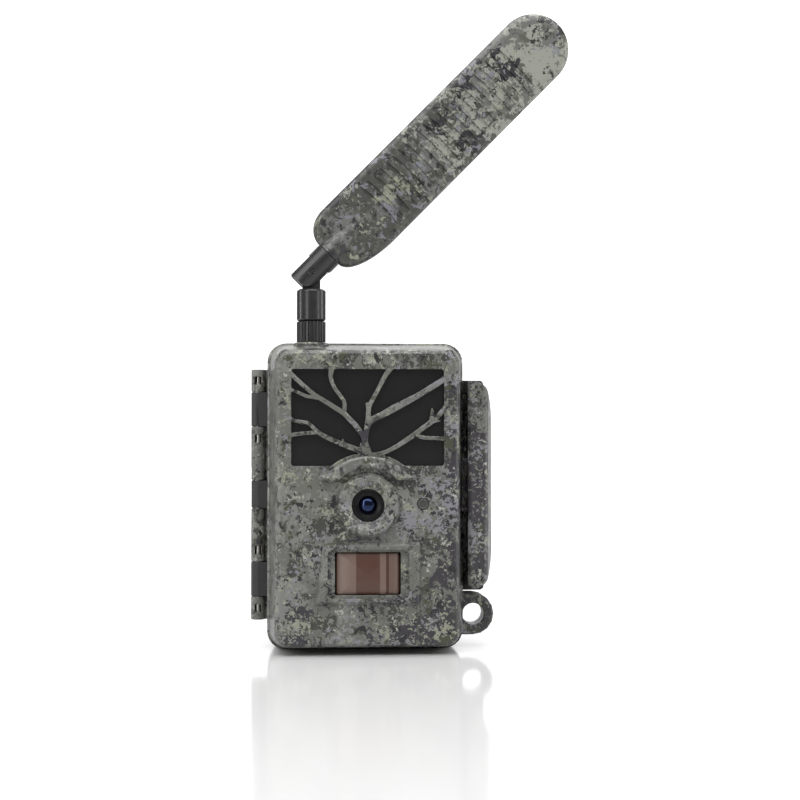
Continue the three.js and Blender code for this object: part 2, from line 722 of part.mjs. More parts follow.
const cellX = [-1.5, -0.5, 0.5, 1.5].map((step) => step * CELL.pitch);

function batteryTray() {
  const body = block([-TRAY.half, TRAY.half], [TRAY.front, TRAY.back], [TRAY.low, TRAY.high]);
  const channel = CELL.r + 0.35;
  const tools = CELL_ROWS.flatMap((foot) => {
    const span = [foot - 1.8, foot + CELL.length + CELL.nubHigh + 1.8];
    return cellX.flatMap((x) => [
      postZ(channel, x, CELL.y, span, 16),
      block([x - channel, x + channel], [TRAY.front - 1, CELL.y], span),
    ]);
  });
  return cut(body, tools);
}
place(rearHalf, "battery_tray", batteryTray(), blackNylon());

const cellProfile = [
  [0, 0],
  [CELL.r, 0],
  [CELL.r, CELL.length - 0.6],
  [CELL.r - 0.8, CELL.length],
  [CELL.nub, CELL.length],
  [CELL.nub, CELL.length + CELL.nubHigh],
  [0, CELL.length + CELL.nubHigh],
];
CELL_ROWS.forEach((foot, row) => {
  cellX.forEach((x, column) => {
    const name = `aa_cell_${row * cellX.length + column + 1}`;
    place(rearHalf, name, turnedZ(cellProfile, 0, 0, 12), finish(0x3b4a58, 0.35, 0.6), [x, CELL.y, foot]);
  });
});

const insertProfile = [
  [TRIPOD.bore, 0.3],
  [TRIPOD.r, 0.3],
  [TRIPOD.r, TRIPOD.high],
  [0, TRIPOD.high],
  [0, TRIPOD.high - 1.2],
  [TRIPOD.bore, TRIPOD.high - 1.2],
  [TRIPOD.bore, 0.3],
];
place(rearHalf, "tripod_insert", turnedZ(insertProfile, 0, TRIPOD.y, 20), brass());

const socketProfile = [
  [DC.bore, 2.7],
  [DC.r, 2.7],
  [DC.r, DC.high],
  [0, DC.high],
  [0, 9.5],
  [DC.bore, 9.5],
  [DC.bore, 2.7],
];
place(rearHalf, "dc_jack", turnedZ(socketProfile, DC.x, DC.y, 20), blackNylon());

const plugProfile = [
  [0, 0.3],
  [5.0, 0.3],
  [5.0, 2.1],
  [DC.bore - 0.3, 2.1],
  [DC.bore - 0.3, 7.5],
  [0, 8],
];
place(rearHalf, "dc_plug", turnedZ(plugProfile, DC.x, DC.y, 20), rubber());

// The tree bracket: a plate with two toothed rails, and a slot through both for the strap.
function treeBracket() {
  const { half, low, high, plate, slot, bridge, rail } = BRACKET;
  const face = CASE.back + GAP;
  const depth = plate + slot + bridge;
  const base = slab(roundRectangle([-half, half], [low, high], 5), [face, face + plate]);
  const teeth = 8;
  const tooth = (high - low - 16) / teeth;
  const profile = new THREE.Shape();
  profile.moveTo(0, low + 2);
  profile.lineTo(depth - 2.2, low + 8);
  for (let i = 0; i < teeth; i += 1) {
    profile.lineTo(depth, low + 8 + (i + 0.3) * tooth);
    profile.lineTo(depth - 1.4, low + 8 + (i + 1) * tooth);
  }
  profile.lineTo(0, high - 2);
  const settings = { depth: rail, bevelEnabled: false };
  const rails = [-half + 0.5, half - 0.5 - rail].map((x) => {
    const geometry = new THREE.ExtrudeGeometry(profile, settings);
    const turned = new THREE.Matrix4().makeBasis(
      new THREE.Vector3(0, 1, 0),
      new THREE.Vector3(0, 0, 1),
      new THREE.Vector3(1, 0, 0),
    );
    return solid(geometry.applyMatrix4(turned).translate(x, face, 0));
  });
  const tools = [
    block([-half - 1, half + 1], [face + plate, face + plate + slot], [STRAP.low, STRAP.high]),
    ...BRACKET_SCREWS.map(([x, z]) => postY(1.7, x, z, [face - 1, face + plate + 1], 12)),
  ];
  return cut(join([base, ...rails]), tools);
}
place(rearHalf, "tree_bracket", treeBracket(), blackNylon());

const bracketScrewProfile = [
  [0, 25],
  [1.2, 25],
  [1.2, 30.6],
  [2.9, 30.6],
  [2.6, 31.9],
  [0, 32.1],
];
BRACKET_SCREWS.forEach(([x, z], i) => {
  const name = `bracket_screw_${i + 1}`;
  place(rearHalf, name, turnedY(bracketScrewProfile, 0, 0, 10), steel(), [x, 0, z]);
});

// ---- Side latch ---------------------------------------------------------------------------------

// The lever: a deep channel that wraps the latch pin at its rear and offers a finger edge in front.
function latchLever() {
  const { x, y, low, high, inner, outer, wall } = LATCH;
  const section = new THREE.Shape();
  section.moveTo(inner, -24);
  section.lineTo(inner + 1.2, -25.4);
  section.lineTo(52, -25.8);
  section.quadraticCurveTo(53.6, -25.6, 54.2, -23.6);
  section.lineTo(outer, -4);
  section.lineTo(outer, 2.5);
  section.quadraticCurveTo(outer, 6.6, outer - 4, 6.6);
  section.lineTo(inner + 0.6, 6.6);
  section.lineTo(inner + 0.6, 1);
  section.lineTo(inner, -1);
  const cavity = polygon([
    [inner - 1, -23 + wall],
    [52.2, -23.6 + wall],
    [outer - wall - 0.2, -4],
    [outer - wall, 3],
    [outer - wall - 1.6, 6.6 - wall],
    [inner - 1, 6.6 - wall],
  ]);
  const ends = { x: 11, z: 18, steps: 8 };
  const right = outer - ends.x;
  const silhouette = polygon([
    [inner - 3, low],
    ...quarter(right, low + ends.z, ends.x, ends.z, 1.5 * Math.PI, ends.steps),
    ...quarter(right, high - ends.z, ends.x, ends.z, 0, ends.steps),
    [inner - 3, high],
  ]);
  const end = 5; // thickness of the closed ends
  const skin = column(section, [low, high]).intersect(slab(silhouette, [-30, 10]));
  const inside = column(cavity, [low + end, high - end]);
  const innerLimit = polygon([
    [inner - 3, low + end],
    ...quarter(right - wall, low + ends.z, ends.x, ends.z - end, 1.5 * Math.PI, ends.steps),
    ...quarter(right - wall, high - ends.z, ends.x, ends.z - end, 0, ends.steps),
    [inner - 3, high - end],
  ]);
  const hollow = inside.intersect(slab(innerLimit, [-30, 10]));
  const middle = (low + high) / 2;
  const barrel = postZ(LATCH_LUG.r, x, y, [middle - 5, middle + 5]);
  const rib = block([x, outer - 1], [y - 1.5, y + 1.5], [middle - 5, middle + 5]);
  const claw = block([inner - 0.2, 55], [CLAW.front, CLAW.rear], [CLAW.low, CLAW.high]);
  const body = skin.subtract(hollow).add(barrel).add(rib).add(claw);
  const reach = LATCH_LUG.half + 0.8;
  const tools = LATCH_LUGS.map((z) => block([inner - 2, LATCH_LUG.clear], [-2, 8], [z - reach, z + reach]));
  tools.push(postZ(LATCH.pin + 0.2, x, y, [low + 1.6, high - 1.6]));
  return cut(body, tools);
}
place(rearHalf, "latch_lever", latchLever(), camo());
place(
  rearHalf,
  "latch_pin",
  postZ(LATCH.pin, LATCH.x, LATCH.y, [LATCH.low + 2, LATCH.high - 2], 16),
  steel(),
);

// ---- Antenna ------------------------------------------------------------------------------------

const jackProfile = [
  [0, JACK.low],
  [JACK.flange, JACK.low],
  [JACK.flange, JACK.seat],
  [JACK.r, JACK.seat],
  [JACK.r, JACK.high],
  [0, JACK.high],
];
place(frontHalf, "antenna_jack", turnedZ(jackProfile, ANTENNA.x, ANTENNA.y, 20), brass());

// The coaxial lead from the jack down to the main board.
function pigtail() {
  const route = new THREE.CatmullRomCurve3([
    new THREE.Vector3(ANTENNA.x, ANTENNA.y, JACK.low - GAP),
    new THREE.Vector3(ANTENNA.x, ANTENNA.y, 128.5),
    new THREE.Vector3(ANTENNA.x + 0.6, ANTENNA.y - 2.2, 124),
    new THREE.Vector3(ANTENNA.x + 1.2, ANTENNA.y - 2.4, 117),
  ]);
  const section = new THREE.Shape().absarc(0, 0, 0.9, 0, 2 * Math.PI);
  const settings = { steps: 10, extrudePath: route, curveSegments: 4, bevelEnabled: false };
  return solid(new THREE.ExtrudeGeometry(section, settings));
}
place(frontHalf, "antenna_pigtail", pigtail(), rubber());

// The knurled nut that screws the antenna to the case.
function antennaNut() {
  const { r, nutLow, nutHigh } = ANTENNA;
  const step = (2 * Math.PI) / KNURLS;
  const groove = 0.45;
  const outline = [];
  for (let i = 0; i < KNURLS; i += 1) {
    const stations = [
      [0.0, r],
      [0.55, r],
      [0.68, r - groove],
      [0.87, r - groove],
    ];
    stations.forEach(([part, radius]) => {
      const angle = (i + part) * step;
      outline.push([radius * Math.cos(angle), radius * Math.sin(angle)]);
    });
  }
  return column(polygon(outline), [nutLow, nutHigh]).subtract(
    postZ(JACK.r + 0.3, 0, 0, [nutLow - 1, nutHigh + 1]),
  );
}
place(antenna, "antenna_nut", antennaNut(), blackNylon());

// The smooth swivel sleeve with the tongue that carries the tilt pin.
function antennaSleeve() {
  const { r, nutHigh, sleeveHigh } = ANTENNA;
  const low = nutHigh + 0.2;
  const edge = 0.8;
  const profile = [
    [0, low - 2.4],
    [JACK.r - 0.05, low - 2.4],
    [JACK.r - 0.05, low],
    [r - edge, low],
    [r, low + edge],
    [r, sleeveHigh - edge],
    [r - edge, sleeveHigh],
    [0, sleeveHigh],
  ];
  const { tongue, tongueHalf } = TILT;
  const outline = new THREE.Shape();
  outline.moveTo(-tongue, sleeveHigh - 2);
  outline.lineTo(tongue, sleeveHigh - 2);
  outline.absarc(0, TILT.z, tongue, 0, Math.PI);
  const tab = slab(outline, [-tongueHalf, tongueHalf], 0, 6);
  return turnedZ(profile, 0, 0, 20).add(tab).subtract(postY(TILT.hole, 0, TILT.z, [-9, 9], 16));
}
place(antenna, "antenna_sleeve", antennaSleeve(), blackNylon());

// The forked elbow: a round bar with a flat under it and a rolled heel that clears the sleeve.
function antennaElbow() {
  const { r, low, high, flat, heel } = ELBOW;
  const outline = new THREE.Shape();
  outline.moveTo(-r - 1, low);
  outline.lineTo(flat - heel, low);
  outline.absarc(flat - heel, low + heel, heel, -Math.PI / 2, 0);
  outline.lineTo(flat, 4.8);
  outline.lineTo(r + 1, 7.6);
  outline.lineTo(r + 1, high);
  outline.lineTo(-r - 1, high);
  const bar = postZ(r, 0, 0, [low, high], 24).intersect(slab(outline, [-r - 1, r + 1]));
  const slot = block([-r - 1, r + 1], [-TILT.slotHalf, TILT.slotHalf], [low - 1, TILT.tongue + 0.6]);
  return cut(bar, [slot, postY(TILT.hole, 0, 0, [-9, 9], 16)]);
}
place(paddle, "antenna_elbow", antennaElbow(), blackNylon());
place(paddle, "antenna_pivot_pin", postY(TILT.pin, 0, 0, [-6, 6], 16), steel());

// The paddle's outline, drawn in by `inset`: a round tip, a small ellipse at the left of the foot
// and a longer one at the right.
function bladeRing(y, inset) {
  const { half, low, tip } = BLADE;
  const side = half - inset;
  const foot = low + inset;
  const points = [
    ...quarter(0, tip - half, side, side, 0, 7),
    ...quarter(0, tip - half, side, side, Math.PI / 2, 7).slice(1),
    ...quarter(-6.3, low + 12, side - 6.3, low + 12 - foot, Math.PI, 6),
    ...quarter(6.3, low + 26, side - 6.3, low + 26 - foot, 1.5 * Math.PI, 8),
  ];
  return { y, points };
}

// One half of the paddle. `side` is -1 for the front half and 1 for the rear half.
function bladeHalf(side) {
  const { thick, neck, neckEnd, low } = BLADE;
  const layers = [
    [0.15, 0],
    [thick * 0.55, 0.35],
    [thick * 0.86, 1.6],
    [thick, 4.2],
  ];
  const rings = layers.map(([height, inset]) => bladeRing(side * height, inset));
  if (side > 0) rings.reverse();
  const cone = new THREE.CylinderGeometry(thick - 0.5, neck, neckEnd - low, 24);
  const neckBody = solid(cone.rotateX(Math.PI / 2).translate(0, 0, (neckEnd + low) / 2));
  const sideOnly = side > 0 ? [0.15, 9] : [-9, -0.15];
  const neckHalf = neckBody.intersect(block([-9, 9], sideOnly, [low - 1, neckEnd + 1]));
  const grooves = Array.from({ length: GROOVES.count }, (_, i) => {
    const { middle, half, high, first, pitch, deep } = GROOVES;
    const z = first + i * pitch;
    const outline = new THREE.Shape();
    outline.moveTo(middle - half, z);
    outline.quadraticCurveTo(middle, z - high, middle + half, z);
    outline.quadraticCurveTo(middle, z + high, middle - half, z);
    const span = [thick - deep, thick + 1].map((height) => side * height);
    return slab(outline, span.sort((a, b) => a - b), 0, 3);
  });
  const pocket = block([-11.5, 11.5], [-1.1, 1.1], [24, 146]);
  return cut(loft(rings).add(neckHalf), [...grooves, pocket]);
}
place(paddle, "antenna_blade_front", bladeHalf(-1), camo());
place(paddle, "antenna_blade_rear", bladeHalf(1), camo());
place(paddle, "antenna_board", block([-11, 11], [-0.7, 0.7], [25, 145]), board());

export default trailCamera;
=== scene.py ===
"""Looks of a cellular trail camera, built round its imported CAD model.

The CAD model gives every place and size, in metres, with +Z up and the lens looking along -Y.
Each sub-assembly is a class that makes its own surfaces and dresses them, and each finish is a
frozen dataclass that builds one procedural material on Object coordinates.
"""

import json
import logging
import math
from dataclasses import dataclass, field
from enum import Enum
from typing import Callable, Sequence

import bmesh
import bpy
import numpy as np
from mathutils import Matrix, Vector


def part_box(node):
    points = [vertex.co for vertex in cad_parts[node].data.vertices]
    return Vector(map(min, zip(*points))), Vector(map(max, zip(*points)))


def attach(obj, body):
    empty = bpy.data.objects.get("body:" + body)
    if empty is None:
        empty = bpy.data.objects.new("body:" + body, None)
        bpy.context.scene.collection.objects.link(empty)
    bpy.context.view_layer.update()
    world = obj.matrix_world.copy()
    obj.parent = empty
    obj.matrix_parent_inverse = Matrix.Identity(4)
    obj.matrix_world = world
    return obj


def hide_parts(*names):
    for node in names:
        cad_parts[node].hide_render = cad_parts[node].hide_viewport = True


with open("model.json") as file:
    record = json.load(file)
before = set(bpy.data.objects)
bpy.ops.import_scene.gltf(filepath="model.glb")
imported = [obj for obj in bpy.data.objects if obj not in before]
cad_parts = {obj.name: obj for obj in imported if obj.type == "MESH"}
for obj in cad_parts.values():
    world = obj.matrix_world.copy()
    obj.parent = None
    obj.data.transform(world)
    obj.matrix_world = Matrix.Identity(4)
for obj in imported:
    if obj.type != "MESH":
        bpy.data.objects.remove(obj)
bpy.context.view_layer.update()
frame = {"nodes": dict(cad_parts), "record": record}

log = logging.getLogger("trail_camera")

MM = 0.001
TURN = 2.0 * math.pi


# ---- Colour and node helpers --------------------------------------------------------------------


def linear(colour: str) -> tuple[float, float, float, float]:
    """Turns an sRGB hex colour into linear light.

    Args:
        colour: six hex digits, such as "6f7466".

    Returns:
        Red, green, blue and an alpha of one.
    """
    parts = [int(colour[i : i + 2], 16) / 255.0 for i in (0, 2, 4)]
    light = [p / 12.92 if p <= 0.04045 else ((p + 0.055) / 1.055) ** 2.4 for p in parts]
    return (*light, 1.0)


def add_node(
    tree: bpy.types.NodeTree, kind: str, inputs: dict | None = None, **settings: object
) -> bpy.types.Node:
    """Adds a node with its settings, and fills or links its inputs.

    Args:
        tree: the node tree to add to.
        kind: the node's type name.
        inputs: socket name or index to a value, or to an output socket to link from.
        settings: properties of the node itself.

    Returns:
        The new node.
    """
    node = tree.nodes.new(kind)
    for name, value in settings.items():
        setattr(node, name, value)
    for name, value in (inputs or {}).items():
        if isinstance(value, bpy.types.NodeSocket):
            tree.links.new(value, node.inputs[name])
        else:
            node.inputs[name].default_value = value
    return node


def new_material(name: str) -> tuple[bpy.types.Material, bpy.types.NodeTree, bpy.types.Node]:
    """Makes a material with one Principled shader.

    Args:
        name: the material's name.

    Returns:
        The material, its node tree and the shader node.
    """
    material = bpy.data.materials.new(name)
    material.use_nodes = True
    tree = material.node_tree
    tree.nodes.clear()
    shader = add_node(tree, "ShaderNodeBsdfPrincipled")
    add_node(tree, "ShaderNodeOutputMaterial", {"Surface": shader.outputs["BSDF"]})
    return material, tree, shader


# ---- Finishes -----------------------------------------------------------------------------------


@dataclass(frozen=True)
class Patch:
    """One colour of a printed camouflage film.

    The colour lies where a coarse cloud, plus a share of a fine cloud, is above a level: solid in
    the middle of each clump and broken into leafy specks at its edge. lean makes the clumps gather
    towards one side, in cloud units per metre.
    """

    colour: str
    clump_mm: float
    speck_mm: float
    level: float
    share: float = 0.8
    lean: tuple[float, float, float] = (0.0, 0.0, 0.0)
    lean_from_mm: tuple[float, float, float] = (0.0, 0.0, 69.0)
    warp: float = 0.6


@dataclass(frozen=True)
class CamouflageFilm:
    """Moulded ABS under a hydro-dipped camouflage film: a satin skin with a soft clear top coat.

    The eye sees torn patches of bark and lichen colours, a faint orange peel and soft highlights.
    """

    name: str
    ground: str
    patches: tuple[Patch, ...]
    roughness: float = 0.42
    peel_mm: float = 1.1
    seed_mm: float = 0.0

    def field(
        self, tree: bpy.types.NodeTree, place: bpy.types.NodeSocket, patch: Patch, number: int
    ) -> bpy.types.NodeSocket:
        """Adds up the clouds and the lean of one patch.

        Args:
            tree: the material's node tree.
            place: the Object coordinates.
            patch: the patch.
            number: its place in the stack, which moves its clouds away from the others'.

        Returns:
            The summed height of the clouds.
        """
        shift = (self.seed_mm + 37.0 * (number + 1)) * MM
        moved = add_node(
            tree, "ShaderNodeMapping", {"Vector": place, "Location": (shift, 0.6 * shift, 1.3 * shift)}
        )
        clouds = [
            add_node(
                tree,
                "ShaderNodeTexNoise",
                {
                    "Vector": moved.outputs["Vector"],
                    "Scale": 1 / (size * MM),
                    "Detail": detail,
                    "Roughness": 0.6,
                    "Distortion": patch.warp,
                },
            ).outputs["Fac"]
            for size, detail in ((patch.clump_mm, 2.0), (patch.speck_mm, 3.0))
        ]
        height = add_node(
            tree,
            "ShaderNodeMath",
            {0: clouds[1], 1: patch.share, 2: clouds[0]},
            operation="MULTIPLY_ADD",
        )
        if not any(patch.lean):
            return height.outputs[0]
        start = add_node(
            tree,
            "ShaderNodeVectorMath",
            {0: place, 1: tuple(v * MM for v in patch.lean_from_mm)},
            operation="SUBTRACT",
        )
        leaning = add_node(
            tree,
            "ShaderNodeVectorMath",
            {0: start.outputs[0], 1: patch.lean},
            operation="DOT_PRODUCT",
        )
        return add_node(
            tree,
            "ShaderNodeMath",
            {0: height.outputs[0], 1: leaning.outputs["Value"]},
            operation="ADD",
        ).outputs[0]

    def build(self) -> bpy.types.Material:
        """Builds the film's material."""
        material, tree, shader = new_material(self.name)
        place = add_node(tree, "ShaderNodeTexCoord").outputs["Object"]
        colour = linear(self.ground)
        for number, patch in enumerate(self.patches):
            height = self.field(tree, place, patch, number)
            level = patch.level + patch.share * 0.5
            mask = add_node(
                tree,
                "ShaderNodeMapRange",
                {"Value": height, "From Min": level - 0.008, "From Max": level + 0.008},
            )
            colour = add_node(
                tree,
                "ShaderNodeMix",
                {0: mask.outputs["Result"], 6: colour, 7: linear(patch.colour)},
                data_type="RGBA",
            ).outputs[2]
        peel = add_node(
            tree,
            "ShaderNodeTexNoise",
            {"Vector": place, "Scale": 1 / (self.peel_mm * MM), "Detail": 2.0},
        )
        bump = add_node(
            tree,
            "ShaderNodeBump",
            {"Height": peel.outputs["Fac"], "Strength": 0.2, "Distance": 0.1 * MM},
        )
        gloss = add_node(
            tree,
            "ShaderNodeMapRange",
            {
                "Value": peel.outputs["Fac"],
                "To Min": self.roughness - 0.06,
                "To Max": self.roughness + 0.06,
            },
        )
        tree.links.new(colour, shader.inputs["Base Color"])
        tree.links.new(gloss.outputs["Result"], shader.inputs["Roughness"])
        tree.links.new(bump.outputs["Normal"], shader.inputs["Normal"])
        shader.inputs["IOR"].default_value = 1.5
        shader.inputs["Coat Weight"].default_value = 0.15
        shader.inputs["Coat Roughness"].default_value = 0.2
        return material


@dataclass(frozen=True)
class Moulding:
    """A moulded or turned material with a fine grain: two close tones, a grain bump, some gloss drift.

    grain_mm is the size of the spark-eroded, cast or turned texture, drawn as coarse as it shows.
    """

    name: str
    light: str
    dark: str
    roughness: float
    grain_mm: float
    bump: float = 0.25
    depth_mm: float = 0.04
    metallic: float = 0.0
    ior: float = 1.5
    coat: float = 0.0
    stretch: tuple[float, float, float] = (1.0, 1.0, 1.0)

    def build(self) -> bpy.types.Material:
        """Builds the material."""
        material, tree, shader = new_material(self.name)
        place = add_node(tree, "ShaderNodeTexCoord").outputs["Object"]
        moved = add_node(tree, "ShaderNodeMapping", {"Vector": place, "Scale": self.stretch})
        grain = add_node(
            tree,
            "ShaderNodeTexNoise",
            {"Vector": moved.outputs["Vector"], "Scale": 1 / (self.grain_mm * MM), "Detail": 3.0},
        )
        cloud = add_node(
            tree,
            "ShaderNodeTexNoise",
            {"Vector": place, "Scale": 1 / (self.grain_mm * 14 * MM), "Detail": 2.0},
        )
        colour = add_node(
            tree,
            "ShaderNodeMix",
            {0: cloud.outputs["Fac"], 6: linear(self.dark), 7: linear(self.light)},
            data_type="RGBA",
        )
        gloss = add_node(
            tree,
            "ShaderNodeMapRange",
            {
                "Value": cloud.outputs["Fac"],
                "To Min": max(self.roughness - 0.07, 0.02),
                "To Max": self.roughness + 0.07,
            },
        )
        bump = add_node(
            tree,
            "ShaderNodeBump",
            {
                "Height": grain.outputs["Fac"],
                "Strength": self.bump,
                "Distance": self.depth_mm * MM,
            },
        )
        tree.links.new(colour.outputs[2], shader.inputs["Base Color"])
        tree.links.new(gloss.outputs["Result"], shader.inputs["Roughness"])
        tree.links.new(bump.outputs["Normal"], shader.inputs["Normal"])
        shader.inputs["Metallic"].default_value = self.metallic
        shader.inputs["IOR"].default_value = self.ior
        shader.inputs["Coat Weight"].default_value = self.coat
        return material


@dataclass(frozen=True)
class SensorFilm:
    """Brown polyethylene Fresnel sheet: upright zones, the lighter ones painted reflections of the lamps
    in its facets, the darker ones its own brown.

    edges_mm are the zone borders along X, and tones the colour of each zone from left to right.
    """

    name: str = "fresnel_polyethylene_painted_reflections"
    edges_mm: tuple[float, ...] = (-13.4, -5.2, 5.2, 7.9, 9.2, 13.4)
    # The lighter tones are painted reflections of the lamps in the facets; the darkest are the sheet's
    # own brown.
    tones: tuple[str, ...] = ("36201a", "67544b", "4a2f25", "67544b", "3d2117", "5d4a40", "36201a")

    def build(self) -> bpy.types.Material:
        """Builds the zoned sheet, its lighter zones painted reflections, with the fine ridges of the
        Fresnel rings as its bump.
        """
        material, tree, shader = new_material(self.name)
        place = add_node(tree, "ShaderNodeTexCoord").outputs["Object"]
        along = add_node(tree, "ShaderNodeSeparateXYZ", {0: place}).outputs["X"]
        colour = linear(self.tones[0])
        # Each step paints the next zone: lighter for a painted reflection, darker for the sheet's own
        # brown.
        for edge, tone in zip(self.edges_mm, self.tones[1:]):
            step = add_node(
                tree,
                "ShaderNodeMapRange",
                {"Value": along, "From Min": (edge - 0.12) * MM, "From Max": (edge + 0.12) * MM},
            )
            colour = add_node(
                tree,
                "ShaderNodeMix",
                {0: step.outputs["Result"], 6: colour, 7: linear(tone)},
                data_type="RGBA",
            ).outputs[2]
        ridges = add_node(
            tree,
            "ShaderNodeTexWave",
            {"Vector": place, "Scale": 1 / (7 * MM), "Distortion": 0.0},
            bands_direction="X",
        )
        bump = add_node(
            tree,
            "ShaderNodeBump",
            {"Height": ridges.outputs["Fac"], "Strength": 0.1, "Distance": 0.03 * MM},
        )
        tree.links.new(colour, shader.inputs["Base Color"])
        tree.links.new(bump.outputs["Normal"], shader.inputs["Normal"])
        shader.inputs["Roughness"].default_value = 0.34
        shader.inputs["IOR"].default_value = 1.51
        return material


@dataclass(frozen=True)
class CoatedGlass:
    """Ground optical glass with a blue anti-reflection coating over a dark lens barrel."""

    name: str = "coated_optical_glass_ground"
    depth: str = "030305"
    bloom: str = "8ea6f2"
    # Radius of the painted shade in the middle of the glass.
    painted_pupil_shade_mm: float = 1.7

    def build(self) -> bpy.types.Material:
        """Builds the glass: a painted shade in the middle, where the dark bore lies behind it, and blue
        reflections.
        """
        material, tree, shader = new_material(self.name)
        place = add_node(tree, "ShaderNodeTexCoord").outputs["Object"]
        centre = centre_of("lens_glass")
        middle = add_node(
            tree,
            "ShaderNodeMapping",
            {"Vector": place, "Location": (-centre.x, 0.0, -centre.z), "Scale": (1.0, 0.0, 1.0)},
        )
        radius = add_node(
            tree, "ShaderNodeVectorMath", {0: middle.outputs["Vector"]}, operation="LENGTH"
        )
        # The middle of the glass is painted darker: a painted shade for the bore behind it.
        rim = add_node(
            tree,
            "ShaderNodeMapRange",
            {
                "Value": radius.outputs["Value"],
                "From Min": (self.painted_pupil_shade_mm - 0.1) * MM,
                "From Max": (self.painted_pupil_shade_mm + 0.1) * MM,
            },
        )
        colour = add_node(
            tree,
            "ShaderNodeMix",
            {0: rim.outputs["Result"], 6: linear("000001"), 7: linear(self.depth)},
            data_type="RGBA",
        )
        tree.links.new(colour.outputs[2], shader.inputs["Base Color"])
        shader.inputs["Roughness"].default_value = 0.04
        shader.inputs["IOR"].default_value = 1.8
        shader.inputs["Specular Tint"].default_value = linear(self.bloom)
        return material


# The case film: grey-green bark with lavender lichen, yellow-green moss and charcoal cracks.
CASE_FILM = CamouflageFilm(
    name="case_camouflage_film_over_abs",
    ground="5a5b55",
    patches=(
        Patch("33342f", 18, 2.6, 0.55, 0.9),
        Patch("6b6c67", 14, 2.4, 0.59, 0.9, lean=(-1.0, 0, 0)),
        Patch("2c292e", 24, 2.8, 0.575, 0.7, lean=(2.6, 0, -1.6), lean_from_mm=(14, 0, 55)),
        Patch("727176", 15, 1.8, 0.655, 1.1, lean=(0.6, 0, 0)),
        Patch("7e8071", 12, 1.7, 0.67, 1.1, lean=(0.4, 0, 0)),
        Patch("3a3c2d", 9, 1.9, 0.68, 0.8),
        Patch("171619", 8, 1.9, 0.645, 0.8),
        Patch("95958e", 6, 1.3, 0.735, 1.0),
    ),
)

# The paddle film: the same print at another place, with broad pale and dark olive grounds.
PADDLE_TILT_DEG = 44.6
PADDLE_AXIS = (math.sin(math.radians(PADDLE_TILT_DEG)), 0.0, math.cos(math.radians(PADDLE_TILT_DEG)))
PADDLE_MIDDLE_MM = (30.0, -13.5, 226.0)
PADDLE_FILM = CamouflageFilm(
    name="paddle_camouflage_film_over_abs",
    ground="3a3b36",
    seed_mm=500.0,
    patches=(
        Patch("82847b", 30, 4.0, 0.50, 0.8, tuple(3.5 * a for a in PADDLE_AXIS), PADDLE_MIDDLE_MM),
        Patch("5b5b58", 18, 3.0, 0.57, 0.9),
        Patch("484940", 14, 2.2, 0.60, 0.9),
        Patch("1f1d21", 19, 3.0, 0.57, 0.8),
        Patch("6a6a71", 15, 3.0, 0.64, 0.8),
        Patch("7d7f70", 12, 2.0, 0.69, 0.9),
        Patch("1c1c1a", 6, 1.5, 0.68, 0.9),
    ),
)

# Black nylon of the antenna and bracket: near-black with long soft highlights.
NYLON = Moulding("glass_filled_nylon_moulded", "262626", "1b1b1c", 0.3, 0.35, 0.2, 0.015)
# The inner mouldings: the same nylon from an eroded tool, duller and greyer.
CHASSIS_NYLON = Moulding("chassis_nylon_moulded", "2b2b2c", "202021", 0.55, 0.4, 0.35, 0.04)
# Silicone rubber: matt, with a fine dust-like grain.
RUBBER = Moulding("silicone_rubber_moulded", "1f1f20", "161617", 0.72, 0.6, 0.25, 0.03)
# Turned stainless steel: bright, with fine lines round the axis.
STEEL = Moulding(
    "stainless_steel_turned", "b9b7b1", "96948f", 0.28, 0.3, 0.15, 0.01, 1.0, stretch=(1, 1, 6)
)
# Turned brass: warm yellow, with fine lines round the axis.
BRASS = Moulding("brass_turned", "c9a35a", "a8823f", 0.3, 0.3, 0.15, 0.01, 1.0, stretch=(1, 1, 6))
# Infrared-pass acrylic: a flat, even, almost black window.
ACRYLIC = Moulding("infrared_pass_acrylic_polished", "1b1b1c", "171718", 0.16, 3.0, 0.02, 0.01, ior=1.49)
# Gloss black ABS. Its IOR is below the real one of about 1.53, so that it mirrors less.
GLOSS_BLACK = Moulding("gloss_black_abs_moulded", "0c0c0d", "070708", 0.24, 0.5, 0.05, 0.01, ior=1.33)
OPTICAL = CoatedGlass()
# Smoked acrylic: a dark grey disc that is a little lighter than the window.
STATUS = Moulding("smoked_acrylic_moulded", "4a4b49", "3c3d3b", 0.3, 0.8, 0.1, 0.02)
# Solder-masked glass epoxy: green, half gloss, with a faint weave.
LAMINATE = Moulding("solder_masked_glass_epoxy", "1c5238", "143d2a", 0.38, 0.5, 0.3, 0.03)
# Printed cell jacket: a plain blue film with a slight metallic sheen.
JACKET = Moulding("printed_cell_jacket", "33506b", "24384c", 0.3, 1.2, 0.05, 0.01, 0.3)
# Display cover glass: black and mirror-like, with a harder coat.
SCREEN = Moulding("display_cover_glass", "11151a", "0c0f13", 0.08, 2.0, 0.0, 0.01, ior=1.52, coat=0.4)
# Memory card ABS: dark grey with a fine spark-eroded grain.
CARD = Moulding("memory_card_abs", "26282c", "1c1e21", 0.45, 0.5, 0.2, 0.02)


# ---- Surfaces worked out with numpy -------------------------------------------------------------


